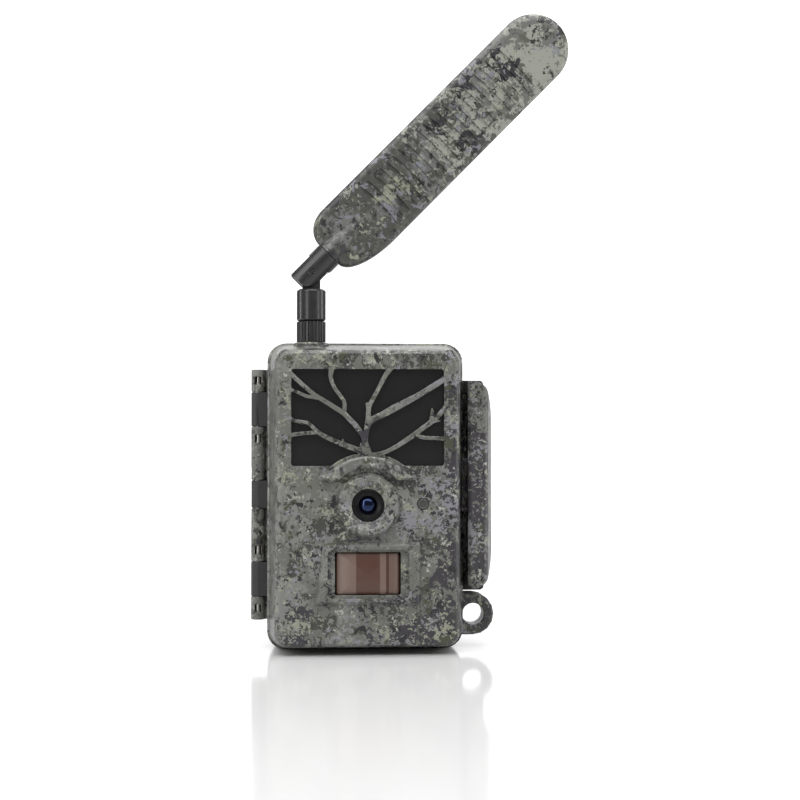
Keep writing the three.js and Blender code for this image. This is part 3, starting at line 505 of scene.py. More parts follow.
def mesh_object(name: str, points: np.ndarray, faces: list, smooth_deg: float = 32.0) -> bpy.types.Object:
    """Makes a mesh object from points and faces, with doubles merged and faces turned outwards.

    Args:
        name: the piece's name.
        points: N by 3 array of places, in metres.
        faces: lists of point numbers.
        smooth_deg: faces that meet under this angle shade as one surface.

    Returns:
        The object, linked to the scene.
    """
    mesh = bpy.data.meshes.new(name)
    mesh.from_pydata(points.tolist(), [], [list(map(int, f)) for f in faces])
    made = bmesh.new()
    made.from_mesh(mesh)
    bmesh.ops.remove_doubles(made, verts=made.verts, dist=1e-6)
    bmesh.ops.dissolve_degenerate(made, dist=1e-7, edges=made.edges)
    bmesh.ops.recalc_face_normals(made, faces=made.faces)
    made.to_mesh(mesh)
    made.free()
    mesh.shade_smooth()
    mesh.set_sharp_from_angle(angle=math.radians(smooth_deg))
    piece = bpy.data.objects.new(name, mesh)
    bpy.context.scene.collection.objects.link(piece)
    return piece


def grid_faces(rows: int, columns: int) -> np.ndarray:
    """Quads of a grid whose columns close on themselves.

    Args:
        rows: number of rings.
        columns: number of points in each ring.

    Returns:
        An array of point numbers, four to a face.
    """
    row, column = np.meshgrid(np.arange(rows - 1), np.arange(columns), indexing="ij")
    ahead = (column + 1) % columns
    corners = [row * columns + column, row * columns + ahead]
    corners += [(row + 1) * columns + ahead, (row + 1) * columns + column]
    return np.stack(corners, axis=-1).reshape(-1, 4)


def closed_rings(name: str, rings: np.ndarray, smooth_deg: float = 32.0) -> bpy.types.Object:
    """Skins a stack of rings, and closes the first and last ring with a flat face each.

    Args:
        name: the piece's name.
        rings: R by C by 3 array: R rings of C points.
        smooth_deg: the shading angle.

    Returns:
        The closed piece.
    """
    rows, columns, _ = rings.shape
    faces = grid_faces(rows, columns).tolist()
    faces.append(list(range(columns))[::-1])
    faces.append([(rows - 1) * columns + i for i in range(columns)])
    return mesh_object(name, rings.reshape(-1, 3), faces, smooth_deg)


def revolved(
    name: str, profile: Sequence[tuple[float, float]], centre: Vector, steps: int = 96
) -> bpy.types.Object:
    """Turns a profile about a line along Y through a centre.

    A point (r, y) goes to x = r cos(a), z = r sin(a), with a running once round.

    Args:
        name: the piece's name.
        profile: (radius, y) in millimetres from the centre, from the back to the front.
        centre: where the axis passes, and the y that the profile counts from, in metres.
        steps: points in one turn.

    Returns:
        The closed piece.
    """
    angle = np.linspace(0, TURN, steps, endpoint=False)
    r, y = np.array(profile).T[:, :, None] * MM
    rings = np.stack(
        [
            centre.x + r * np.cos(angle),
            centre.y + y + 0 * angle,
            centre.z + r * np.sin(angle),
        ],
        axis=-1,
    )
    return closed_rings(name, rings)


def rounded_outline(half_x: float, half_z: float, corner: float, steps: int = 10) -> np.ndarray:
    """Points round a rectangle with round corners.

    Each corner is a quarter circle about (half - corner), so the outline closes on itself.

    Args:
        half_x: half the width.
        half_z: half the height.
        corner: radius of the corners.
        steps: points in each quarter circle.

    Returns:
        An N by 2 array of x and z.
    """
    quarter = np.linspace(0, math.pi / 2, steps)
    angle = np.concatenate([quarter + i * math.pi / 2 for i in range(4)])
    side = np.repeat([(1, 1), (-1, 1), (-1, -1), (1, -1)], steps, axis=0)
    middle = side * (half_x - corner, half_z - corner)
    return middle + corner * np.stack([np.cos(angle), np.sin(angle)], axis=-1)


# ---- Dressing CAD nodes -------------------------------------------------------------------------


def body_of_node(node: str) -> str:
    """Name of the body that a CAD node belongs to."""
    bodies = frame["record"]["behaviour"]["bodies"]
    return next(body for body, nodes in bodies.items() if node in nodes)


def joint_place(joint: str) -> list[float]:
    """Place of a joint's axis, in metres."""
    joints = frame["record"]["behaviour"]["joints"]
    return next(row["pos_m"] for row in joints if row["name"] == joint)


def centre_of(node: str) -> Vector:
    """Middle of a CAD node's box."""
    low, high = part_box(node)
    return (Vector(low) + Vector(high)) / 2


def dress(piece: bpy.types.Object, material: bpy.types.Material) -> None:
    """Gives a piece one material."""
    piece.data.materials.clear()
    piece.data.materials.append(material)


def stand_for(piece: bpy.types.Object, node: str, material: bpy.types.Material) -> bpy.types.Object:
    """Lets a finished piece stand for a CAD node: same body, its own material.

    Args:
        piece: the new piece.
        node: the CAD node that it stands for.
        material: its finish.

    Returns:
        The piece.
    """
    dress(piece, material)
    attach(piece, body_of_node(node))
    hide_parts(node)
    log.info("%s stands for %s", piece.name, node)
    return piece


class Edge(Enum):
    """How far the edges of a moulded or machined piece are broken, in millimetres."""

    CRISP = 0.15
    MOULDED = 0.3
    SOFT = 0.6


WIDEST_BREAK_MM = 2.0

# Says how far one edge is broken, in mm: it gets the edge's middle in mm, its way and its convexity.
BreakRule = Callable[[Vector, Vector, bool], float | None]
Reshape = Callable[[np.ndarray], np.ndarray]


def weigh_edges(made: bmesh.types.BMesh, edge: Edge, rule: BreakRule | None, sharp_deg: float) -> None:
    """Gives every sharp edge the width of its break, as a share of the widest.

    A break never takes more than two fifths of the shortest edge that it meets, so that breaks
    do not cross each other.

    Args:
        made: the welded mesh.
        edge: the usual break.
        rule: says which edges get another break.
        sharp_deg: edges that turn less than this are left alone.
    """
    weights = made.edges.layers.float.new("bevel_weight_edge")
    for line in made.edges:
        if line.calc_face_angle(0.0) < math.radians(sharp_deg):
            continue
        ends = [end.co for end in line.verts]
        width = edge.value
        if rule:
            middle = (ends[0] + ends[1]) / (2 * MM)
            asked = rule(middle, (ends[1] - ends[0]).normalized(), line.is_convex)
            width = width if asked is None else asked
        shortest = min(near.calc_length() for end in line.verts for near in end.link_edges)
        line.smooth = width > 0.0
        line[weights] = min(width, 0.4 * shortest / MM) / WIDEST_BREAK_MM


def welded(
    node: str,
    edge: Edge,
    material: bpy.types.Material,
    smooth_deg: float = 28.0,
    rule: BreakRule | None = None,
    reshape: Reshape | None = None,
) -> bpy.types.Object:
    """Carries a CAD node over as one welded skin with broken edges.

    The copy's loose triangles are merged, slivers between flat neighbours are cleared away, and
    a bevel rounds every edge sharper than the shading angle.

    Args:
        node: the CAD node.
        edge: how far its edges are broken.
        material: its finish.
        smooth_deg: faces that meet under this angle shade as one surface.
        rule: says which edges get another break.
        reshape: moves the skin's points, given and returned in millimetres.

    Returns:
        The new piece, which stands for the node.
    """
    mesh = frame["nodes"][node].data.copy()
    mesh.name = node + "_skin"
    if reshape:
        points = np.empty(len(mesh.vertices) * 3)
        mesh.vertices.foreach_get("co", points)
        moved = reshape(points.reshape(-1, 3) / MM) * MM
        mesh.vertices.foreach_set("co", moved.ravel())
    made = bmesh.new()
    made.from_mesh(mesh)
    bmesh.ops.remove_doubles(made, verts=made.verts, dist=0.05 * MM)
    bmesh.ops.dissolve_limit(
        made, angle_limit=math.radians(0.8), verts=made.verts, edges=made.edges
    )
    wide = [face for face in made.faces if len(face.verts) > 4]
    bmesh.ops.triangulate(made, faces=wide, ngon_method="BEAUTY")
    for face in made.faces:
        face.smooth = True
    weigh_edges(made, edge, rule, smooth_deg)
    made.to_mesh(mesh)
    made.free()
    piece = bpy.data.objects.new(node + "_skin", mesh)
    bpy.context.scene.collection.objects.link(piece)
    bevel = piece.modifiers.new("broken_edges", "BEVEL")
    bevel.width = WIDEST_BREAK_MM * MM
    bevel.segments = 3
    bevel.limit_method = "WEIGHT"
    bevel.use_clamp_overlap = False
    flatten = piece.modifiers.new("flat_faces_stay_flat", "WEIGHTED_NORMAL")
    flatten.keep_sharp = True
    flatten.weight = 100
    return stand_for(piece, node, material)


# ---- Sub-assemblies -----------------------------------------------------------------------------


@dataclass
class CaseHalves:
    """The two camouflaged case halves and the grille, which is one skin with the front."""

    film: bpy.types.Material
    # Black nylon of the latch strip, which paints the shade in the gap behind the latch.
    dark: bpy.types.Material
    face_mm: float = -35.0
    window_half: tuple[float, float] = (34.7, 22.425)
    window_middle_mm: float = 104.275
    window_corner_mm: float = 1.2
    niche: tuple[float, float] = (63.1, 24.5)
    tuck_mm: float = 0.7
    sink_mm: float = 0.04
    face_rim_mm: tuple[float, float, float] = (38.0, 6.2, 131.8)
    rim_break_mm: float = 0.55
    sensor_corner_mm: float = 1.4
    crotch_mm: float = 1.1
    bough_mm: float = 0.35

    def from_window(self, points: np.ndarray) -> tuple[np.ndarray, np.ndarray]:
        """Finds how far points lie outside the window's rounded rectangle, and the way out.

        Past a straight side that is the distance to the side. In a corner it is the distance to
        the corner's centre less its radius.

        Args:
            points: N by 3 array in millimetres.

        Returns:
            The distances, and N by 2 unit vectors in X and Z.
        """
        flat = points[:, [0, 2]] - (0.0, self.window_middle_mm)
        core = np.array(self.window_half) - self.window_corner_mm
        past = np.abs(flat) - core
        out = np.maximum(past, 0.0)
        length = np.linalg.norm(out, axis=1)
        inside = np.minimum(past.max(axis=1), 0.0)
        way = np.sign(flat) * out / np.maximum(length, 1e-9)[:, None]
        return length + inside - self.window_corner_mm, way

    def tuck_grille(self, points: np.ndarray) -> np.ndarray:
        """Lays the boughs flush with the face, and pushes the grille's rim under the shell's edge.

        Args:
            points: N by 3 array in millimetres.

        Returns:
            The moved points.
        """
        moved = points.copy()
        moved[:, 1] = np.maximum(moved[:, 1], self.face_mm)
        beyond, way = self.from_window(points)
        low, radius = self.niche
        spoke = points[:, [0, 2]] - (0.0, low)
        reach = np.linalg.norm(spoke, axis=1)
        at_niche = reach < radius + 0.5
        at_side = (beyond > -0.4) & ~at_niche
        moved[:, [0, 2]] += np.where(at_side[:, None], way * self.tuck_mm, 0.0)
        inward = -spoke / reach[:, None] * self.tuck_mm
        moved[:, [0, 2]] += np.where(at_niche[:, None], inward, 0.0)
        tucked = (at_side | at_niche) & (points[:, 1] < self.face_mm + 0.5)
        moved[tucked, 1] += self.sink_mm
        return moved

    def shell_break(self, middle: Vector, way: Vector, convex: bool) -> float | None:
        """Breaks the rim of the face widely, and leaves the window's edge unbroken."""
        point = np.array([[*middle]])
        beyond = self.from_window(point)[0][0]
        from_niche = math.hypot(middle.x, middle.z - self.niche[0]) - self.niche[1]
        if middle.y < self.face_mm + 0.1 and (abs(beyond) < 0.1 or abs(from_niche) < 0.12):
            return 0.0
        if abs(way.y) > 0.95 and middle.z < 60 and abs(middle.x) < 20 and not convex:
            return self.sensor_corner_mm
        side, low, high = self.face_rim_mm
        if abs(middle.x) > side or middle.z < low or middle.z > high:
            return self.rim_break_mm
        return None

    def bough_break(self, middle: Vector, way: Vector, convex: bool) -> float | None:
        """Fills the crotches between boughs, and breaks their front edges."""
        return self.crotch_mm if abs(way.y) > 0.95 and not convex else self.bough_mm

    def hinge_backing(self) -> None:
        """Builds a guessed thin web that darkens the gap behind the hinge knuckles."""
        low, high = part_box("hinge_pin")
        outline = rounded_outline(3.75 * MM, (high[2] - low[2]) / 2, 0.5 * MM, 4)
        middle = Vector((-47.4 * MM, 0.0, (low[2] + high[2]) / 2))
        self.plate("hinge_backing", outline, middle, (-1.6, -0.8), self.film)

    def latch_guard_painted_shade(self) -> None:
        """Builds a guessed strip in black nylon, a dark sheet that paints the shade in the gap behind the
        latch.
        """
        outline = rounded_outline(6.4 * MM, 49.0 * MM, 2.0 * MM, 6)
        middle = Vector((50.1 * MM, 0.0, 73.0 * MM))
        self.plate("latch_guard_painted_shade", outline, middle, (10.9, 12.9), self.dark)

    def plate(
        self,
        name: str,
        outline: np.ndarray,
        middle: Vector,
        span_mm: tuple[float, float],
        material: bpy.types.Material,
    ) -> None:
        """Builds a flat plate with a broken rim, on the rear half.

        Args:
            name: the plate's name.
            outline: N by 2 array of x and z about its middle, in metres.
            middle: its middle, in metres.
            span_mm: its front and rear planes.
            material: its finish.
        """
        front, rear = span_mm
        edge = 0.2
        size = np.abs(outline).max(axis=0)
        drawn = 1 - np.array([edge, 0.0, 0.0, edge])[:, None] * MM / size
        y = np.array([front, front + edge, rear - edge, rear]) * MM
        flat = drawn[:, None, :] * outline[None]
        rings = np.stack(
            [middle.x + flat[..., 0], y[:, None] + 0 * flat[..., 0], middle.z + flat[..., 1]], axis=-1
        )
        piece = closed_rings(name, rings)
        dress(piece, material)
        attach(piece, "rear_half")
        log.info("%s rides on the rear half", name)

    def build(self) -> None:
        """Dresses the shells and the grille, and adds the rear half's webs."""
        welded("front_shell", Edge.MOULDED, self.film, rule=self.shell_break)
        welded("rear_shell", Edge.MOULDED, self.film)
        welded(
            "branch_grille", Edge.MOULDED, self.film, rule=self.bough_break, reshape=self.tuck_grille
        )
        self.hinge_backing()
        self.latch_guard_painted_shade()


@dataclass
class SideLatch:
    """The long latch lever, whose two ends reach in towards the case."""

    film: bpy.types.Material
    end_mm: float = 6.0
    reach_mm: float = 1.9

    def stretch_ends(self, points: np.ndarray) -> np.ndarray:
        """Pulls the inner edge of both ends towards the case, as a share of the distance to the end.

        Args:
            points: N by 3 array in millimetres.

        Returns:
            The moved points.
        """
        moved = points.copy()
        low, high = points[:, 2].min(), points[:, 2].max()
        from_end = np.minimum(points[:, 2] - low, high - points[:, 2])
        inner = (points[:, 0] < 48.0) & (points[:, 1] < 1.5) & (from_end < self.end_mm)
        moved[inner, 0] -= self.reach_mm
        return moved

    def build(self) -> None:
        """Dresses the lever."""
        welded("latch_lever", Edge.SOFT, self.film, reshape=self.stretch_ends)


@dataclass
class LensStack:
    """The bezel with its stepped baffle, and the steep front glass."""

    gloss: bpy.types.Material
    glass: bpy.types.Material
    outer_mm: float = 6.9
    glass_mm: float = 4.0
    rise_mm: float = 1.6
    steps: int = 4

    def bezel(self) -> None:
        """Builds the bezel: a rolled lip, then steps that fall towards the glass."""
        low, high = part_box("lens_bezel")
        centre = centre_of("lens_bezel")
        deep = (high[1] - low[1]) / MM
        roll = [
            (self.outer_mm - 0.5 * (1 - math.cos(a)), 0.5 * (1 - math.sin(a)) - deep)
            for a in np.linspace(0, math.pi / 2, 6)
        ]
        lip = self.outer_mm - 1.1
        width = (lip - self.glass_mm - 0.2) / self.steps
        stairs = []
        for i in range(self.steps):
            r = lip - i * width
            y = -deep + i * 0.3
            stairs += [(r, y), (r - 0.12, y + 0.25), (r - width + 0.08, y + 0.32)]
        profile = [(self.outer_mm, 0.0), *roll, *stairs, (self.glass_mm + 0.15, 0.0)]
        angle = np.linspace(0, TURN, 120, endpoint=False)
        r, y = np.array([*profile, profile[0]]).T[:, :, None] * MM
        rings = np.stack(
            [centre.x + r * np.cos(angle), high[1] + y + 0 * angle, centre.z + r * np.sin(angle)],
            axis=-1,
        )
        faces = grid_faces(rings.shape[0], rings.shape[1]).tolist()
        ring = mesh_object("lens_bezel_ring", rings.reshape(-1, 3), faces, 25)
        stand_for(ring, "lens_bezel", self.gloss)

    def front_glass(self) -> None:
        """Builds the glass: a part of a sphere of radius (r squared + rise squared) / (2 rise)."""
        low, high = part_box("lens_glass")
        centre = centre_of("lens_glass")
        centre.y = high[1]
        radius = (self.glass_mm**2 + self.rise_mm**2) / (2 * self.rise_mm)
        reach = math.asin(self.glass_mm / radius)
        foot = (high[1] - low[1]) / MM - self.rise_mm
        dome = [
            (radius * math.sin(a), radius - self.rise_mm - radius * math.cos(a) - foot)
            for a in np.linspace(reach, 0.01, 24)
        ]
        glass = revolved("front_glass_dome", [(self.glass_mm, 0.0), *dome], centre)
        stand_for(glass, "lens_glass", self.glass)

    def build(self) -> None:
        """Builds the bezel and the glass."""
        self.bezel()
        self.front_glass()


@dataclass
class MotionSensor:
    """The bowed Fresnel lens of the motion sensor."""

    film: bpy.types.Material
    corner_mm: float = 1.5
    bow_mm: float = 3.0

    def build(self) -> None:
        """Builds the lens: rings shrunk from the outline, bowed by a circle about an upright axis.

        A point at x stands forward of the foot by sqrt(R squared - x squared) - (R - bow).
        """
        low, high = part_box("pir_lens")
        centre = centre_of("pir_lens")
        half_x = (high[0] - low[0]) / 2
        half_z = (high[2] - low[2]) / 2
        bow = self.bow_mm * MM
        radius = (half_x**2 + bow**2) / (2 * bow)
        outline = rounded_outline(half_x, half_z, self.corner_mm * MM)
        share = np.array([1.0, 1.0, 1.0, 0.97, 0.8, 0.6, 0.4, 0.2, 0.05])
        sunk = np.array([1.0, 0.5, 0.12, 0.0, 0.0, 0.0, 0.0, 0.0, 0.0])
        flat = share[:, None, None] * outline[None]
        x = flat[..., 0]
        front = low[1] + bow - (np.sqrt(radius**2 - x**2) - (radius - bow))
        back = high[1] - 0.0 * x
        y = front * (1 - sunk[:, None]) + back * sunk[:, None]
        rings = np.stack([centre.x + x, y, centre.z + flat[..., 1]], axis=-1)
        lens = closed_rings("fresnel_lens", rings, 30)
        stand_for(lens, "pir_lens", self.film)


@dataclass
class PaddleHalf:
    """One moulded half of the paddle: a round-edged blade with lens-shaped grooves and a neck."""

    half_mm: float = 16.3
    foot_mm: float = 11.3
    tip_mm: float = 160.0
    thick_mm: float = 3.6
    edge_mm: float = 4.2
    seam_mm: float = 0.15
    neck_mm: tuple[float, float] = (6.2, 3.1)
    neck_end_mm: float = 37.6
    grooves: int = 23
    groove_pitch_mm: float = 4.03
    first_groove_mm: float = 42.8
    groove_half_mm: float = 12.75
    groove_middle_mm: float = 0.55
    groove_high_mm: float = 0.8
    groove_deep_mm: float = 0.75
    wall_mm: float = 0.3
    tilt_deg: float = PADDLE_TILT_DEG
    edge_power: float = 2.6
    wall_behind_mm: float = 4.5
    pocket_mm: tuple[float, float, float, float] = (0.6, 0.95, 22.0, 148.0)
    columns: int = 72
    left_foot: tuple[float, float] = (6.3, 12.0)
    right_foot: tuple[float, float] = (6.3, 26.0)

    def rows(self) -> tuple[np.ndarray, np.ndarray]:
        """Heights of the rows along the paddle, and how much of a groove's width moves each.

        The rows are close at the foot and the tip. Round every groove seven rows stand at its
        middle, at the feet and the tops of its two walls, and half-way to the next groove.

        Returns:
            The heights, and the share of the groove's half width that is added across the blade.
        """
        start = self.foot_mm + 12 * (1 - np.cos(np.linspace(0, math.pi / 2, 22)))
        half = self.groove_pitch_mm / 2
        low = np.linspace(start[-1] + 1.0, self.first_groove_mm - half - 0.5, 16)
        middles = self.first_groove_mm + self.groove_pitch_mm * np.arange(self.grooves)
        base = np.array([-half, -self.wall_mm, 0.0, 0.0, 0.0, self.wall_mm])
        share = np.array([0.0, -1.0, -1.0, 0.0, 1.0, 1.0])
        grooved = (middles[:, None] + base).ravel()
        tip_centre = self.tip_mm - self.half_mm
        high = np.arange(middles[-1] + half, tip_centre, 1.0)
        cap = tip_centre + self.half_mm * np.sin(np.linspace(0, math.pi / 2, 28))
        rows = np.concatenate([start, low, grooved, high, cap])
        lean = np.zeros(len(rows))
        first = len(start) + len(low)
        lean[first : first + len(grooved)] = np.tile(share, self.grooves)
        return rows, lean

    def half_width(self, rows: np.ndarray, foot: tuple[float, float]) -> np.ndarray:
        """Half the width at each row: a quarter ellipse at the foot, straight, a quarter circle.

        Args:
            rows: heights along the paddle.
            foot: where the foot's ellipse starts across the paddle, and its height.

        Returns:
            The half widths in millimetres.
        """
        start, high = foot
        up = np.clip((self.foot_mm + high - rows) / high, 0, 1)
        width = start + (self.half_mm - start) * np.sqrt(1 - up**2)
        past = np.clip(rows - (self.tip_mm - self.half_mm), 0, self.half_mm)
        return np.minimum(width, np.sqrt(self.half_mm**2 - past**2))

    def height(self, x: np.ndarray, z: np.ndarray, edge: np.ndarray) -> np.ndarray:
        """Height of the outer face above the middle plane.

        The blade rises from its edge as a superellipse of power edge_power over edge_mm. The neck is a
        cone laid over it. Each groove is cut down to a depth that grows from its lens-shaped
        border over the width of its wall.

        Args:
            x: places across the paddle.
            z: places along it.
            edge: distance to the outline.

        Returns:
            The heights in millimetres.
        """
        power = self.edge_power
        share = np.clip(edge / self.edge_mm, 0, 1)
        blade = self.thick_mm * (1 - (1 - share) ** power) ** (1 / power)
        along = np.clip((z - self.foot_mm) / (self.neck_end_mm - self.foot_mm), 0, 1)
        radius = self.neck_mm[0] + (self.neck_mm[1] - self.neck_mm[0]) * along
        cone = np.sqrt(np.clip(radius**2 - x**2, 0, None)) * (z <= self.neck_end_mm)
        step = (z - self.first_groove_mm) / self.groove_pitch_mm
        nearest = np.clip(np.round(step), 0, self.grooves - 1)
        off = np.abs(step - nearest) * self.groove_pitch_mm
        lens = self.groove_lens(x)
        deep = self.groove_deep_mm * np.clip(lens / 0.3, 0, 1)
        cut = deep * np.clip((lens + self.wall_mm - off) / self.wall_mm, 0, 1)
        return np.maximum(np.maximum(blade - cut, cone), self.seam_mm)

    def groove_lens(self, x: np.ndarray) -> np.ndarray:
        """Half the width of a groove's floor: a parabola across the blade, never under zero."""
        share = (x - self.groove_middle_mm) / self.groove_half_mm
        return self.groove_high_mm * np.clip(1 - share**2, 0, 1)

    def outline_distance(self, x: np.ndarray, z: np.ndarray, border: np.ndarray) -> np.ndarray:
        """Distance from each point to the nearest point of the outline.

        Args:
            x: R by C places across.
            z: R by C places along.
            border: N by 2 points of the outline.

        Returns:
            R by C distances.
        """
        return np.stack(
            [
                np.sqrt(((np.stack([xs, zs], -1)[:, None] - border[None]) ** 2).sum(-1)).min(1)
                for xs, zs in zip(x, z)
            ]
        )

    def build(self, side: int, node: str, material: bpy.types.Material) -> None:
        """Builds one half and lets it stand for its CAD node.

        Args:
            side: -1 for the front half and 1 for the rear half.
            node: the CAD node.
            material: its finish.
        """
        rows, lean = self.rows()
        left = -self.half_width(rows, self.left_foot)
        right = self.half_width(rows, self.right_foot)
        across = (1 - np.cos(np.linspace(0, math.pi, self.columns))) / 2
        x = left[:, None] + (right - left)[:, None] * across
        z = rows[:, None] + lean[:, None] * self.groove_lens(x)
        border = np.concatenate([np.stack([left, rows], 1), np.stack([right, rows], 1)])
        edge = self.outline_distance(x, z, border)
        outer = self.height(x, z, edge)
        step, deep, low, high = self.pocket_mm
        pocket = np.clip((edge - self.wall_behind_mm) / step, 0, 1)
        pocket = pocket * ((rows > low) & (rows < high))[:, None]
        inner = self.seam_mm + deep * pocket
        local = np.concatenate(
            [np.stack([x, side * h, z], -1).reshape(-1, 3) for h in (outer, inner)]
        )
        turn = math.radians(self.tilt_deg)
        pivot = np.array(joint_place("antenna_tilt"))
        placed = np.stack(
            [
                local[:, 0] * math.cos(turn) + local[:, 2] * math.sin(turn),
                local[:, 1],
                local[:, 2] * math.cos(turn) - local[:, 0] * math.sin(turn),
            ],
            axis=-1,
        )
        count = len(rows)
        cell = np.arange((count - 1) * self.columns).reshape(count - 1, self.columns)[:, :-1]
        quad = np.stack([cell, cell + 1, cell + self.columns + 1, cell + self.columns], -1)
        quad = quad.reshape(-1, 4)
        sheet = count * self.columns
        foot = np.arange(self.columns - 1)
        cap = np.stack([foot, foot + 1, foot + sheet + 1, foot + sheet], -1)
        faces = np.concatenate([quad, quad[:, ::-1] + sheet, cap]).tolist()
        blade = mesh_object(node + "_moulding", placed * MM + pivot, faces, 38)
        stand_for(blade, node, material)


@dataclass
class Antenna:
    """The paddle antenna: knurled nut, swivel sleeve, forked elbow and the two paddle halves."""

    film: bpy.types.Material
    nylon: bpy.types.Material
    pin: bpy.types.Material

    def build(self) -> None:
        """Dresses every piece of the antenna."""
        PaddleHalf().build(-1, "antenna_blade_front", self.film)
        PaddleHalf().build(1, "antenna_blade_rear", self.film)
        for node in ("antenna_nut", "antenna_sleeve", "antenna_elbow"):
            welded(node, Edge.MOULDED, self.nylon)
        welded("antenna_pivot_pin", Edge.CRISP, self.pin)


@dataclass
class BatteryCells:
    """The AA cells: shrunk jackets with a rolled rim at each end and a raised button."""

    jacket: bpy.types.Material
    shoulder_mm: float = 1.0
    button_mm: float = 2.75
    count: int = 8

    def build(self) -> None:
        """Turns every cell about its upright axis: x = r cos(a), y = r sin(a), z along it."""
        angle = np.linspace(0, TURN, 64, endpoint=False)
        for i in range(self.count):
            node = f"aa_cell_{i + 1}"
            low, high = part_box(node)
            centre = centre_of(node)
            wide = (high[0] - low[0]) / (2 * MM)
            top = (high[2] - low[2]) / MM
            rim = top - self.shoulder_mm
            profile = [
                (wide - 1.1, 0.3),
                (wide - 0.9, 0.05),
                (wide - 0.4, 0.05),
                (wide, 0.5),
                (wide, rim - 0.5),
                (wide - 0.3, rim - 0.1),
                (wide - 0.7, rim),
                (wide - 1.1, rim - 0.3),
                (self.button_mm + 0.1, rim - 0.3),
                (self.button_mm, rim),
                (self.button_mm, top - 0.2),
                (self.button_mm - 0.2, top),
            ]
            r, z = np.array(profile).T[:, :, None] * MM
            rings = np.stack(
                [centre.x + r * np.cos(angle), centre.y + r * np.sin(angle), low[2] + z + 0 * angle],
                axis=-1,
            )
            stand_for(closed_rings(node + "_jacketed", rings), node, self.jacket)


@dataclass
class SocketScrews:
    """The steel screws: a rounded head with a six-sided socket, on a round shank."""

    steel: bpy.types.Material
    shank_mm: float = 1.25
    head_mm: float = 1.6
    socket_mm: float = 1.4
    deep_mm: float = 1.0

    def screw(self, node: str) -> None:
        """Turns one screw about a line along Y, with its head towards the rear.

        The radius at angle a is r, or in the socket r cos(30) / cos(a mod 60 - 30) for the
        six-sided outline.

        Args:
            node: the CAD node that the screw stands for.
        """
        low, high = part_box(node)
        centre = centre_of(node)
        wide = (high[2] - low[2]) / (2 * MM)
        length = (high[1] - low[1]) / MM
        profile = np.array(
            [
                (self.shank_mm, length, 0),
                (self.shank_mm, self.head_mm, 0),
                (wide - 0.1, self.head_mm, 0),
                (wide, self.head_mm - 0.1, 0),
                (wide, 0.7, 0),
                (wide - 0.35, 0.2, 0),
                (wide - 0.8, 0.0, 0),
                (self.socket_mm + 0.1, 0.0, 1),
                (self.socket_mm, 0.12, 1),
                (self.socket_mm, self.deep_mm, 1),
            ]
        )
        angle = np.linspace(0, TURN, 48, endpoint=False)
        sixth = TURN / 6
        six_sided = math.cos(sixth / 2) / np.cos(angle % sixth - sixth / 2)
        r, deep, share = profile.T[:, :, None]
        r = r * MM * (1 + share * (six_sided - 1))
        rings = np.stack(
            [centre.x + r * np.cos(angle), high[1] - deep * MM + 0 * angle, centre.z + r * np.sin(angle)],
            axis=-1,
        )
        stand_for(closed_rings(node + "_turned", rings), node, self.steel)

    def build(self) -> None:
        """Builds the screws of the tree bracket and of the chassis."""
        for i in range(4):
            self.screw(f"bracket_screw_{i + 1}")
            self.screw(f"chassis_screw_{i + 1}")


@dataclass
class PlainParts:
    """Every other CAD node, each dressed with its own finish."""

    finishes: dict[str, bpy.types.Material]
    edge: Edge = Edge.CRISP

    def build(self) -> None:
        """Dresses the nodes, chosen by the start of their names."""
        for node in sorted(frame["nodes"]):
            found = [finish for start, finish in self.finishes.items() if node.startswith(start)]
            if found and not frame["nodes"][node].hide_render:
                welded(node, self.edge, found[-1])


# ---- Studio -------------------------------------------------------------------------------------


@dataclass(frozen=True)
class SoftBox:
    """An area light: turned from straight in front, raised, and aimed at the object."""

    name: str
    azimuth: float
    elevation: float
    distance: float
    size: tuple[float, float]
    radiance: float


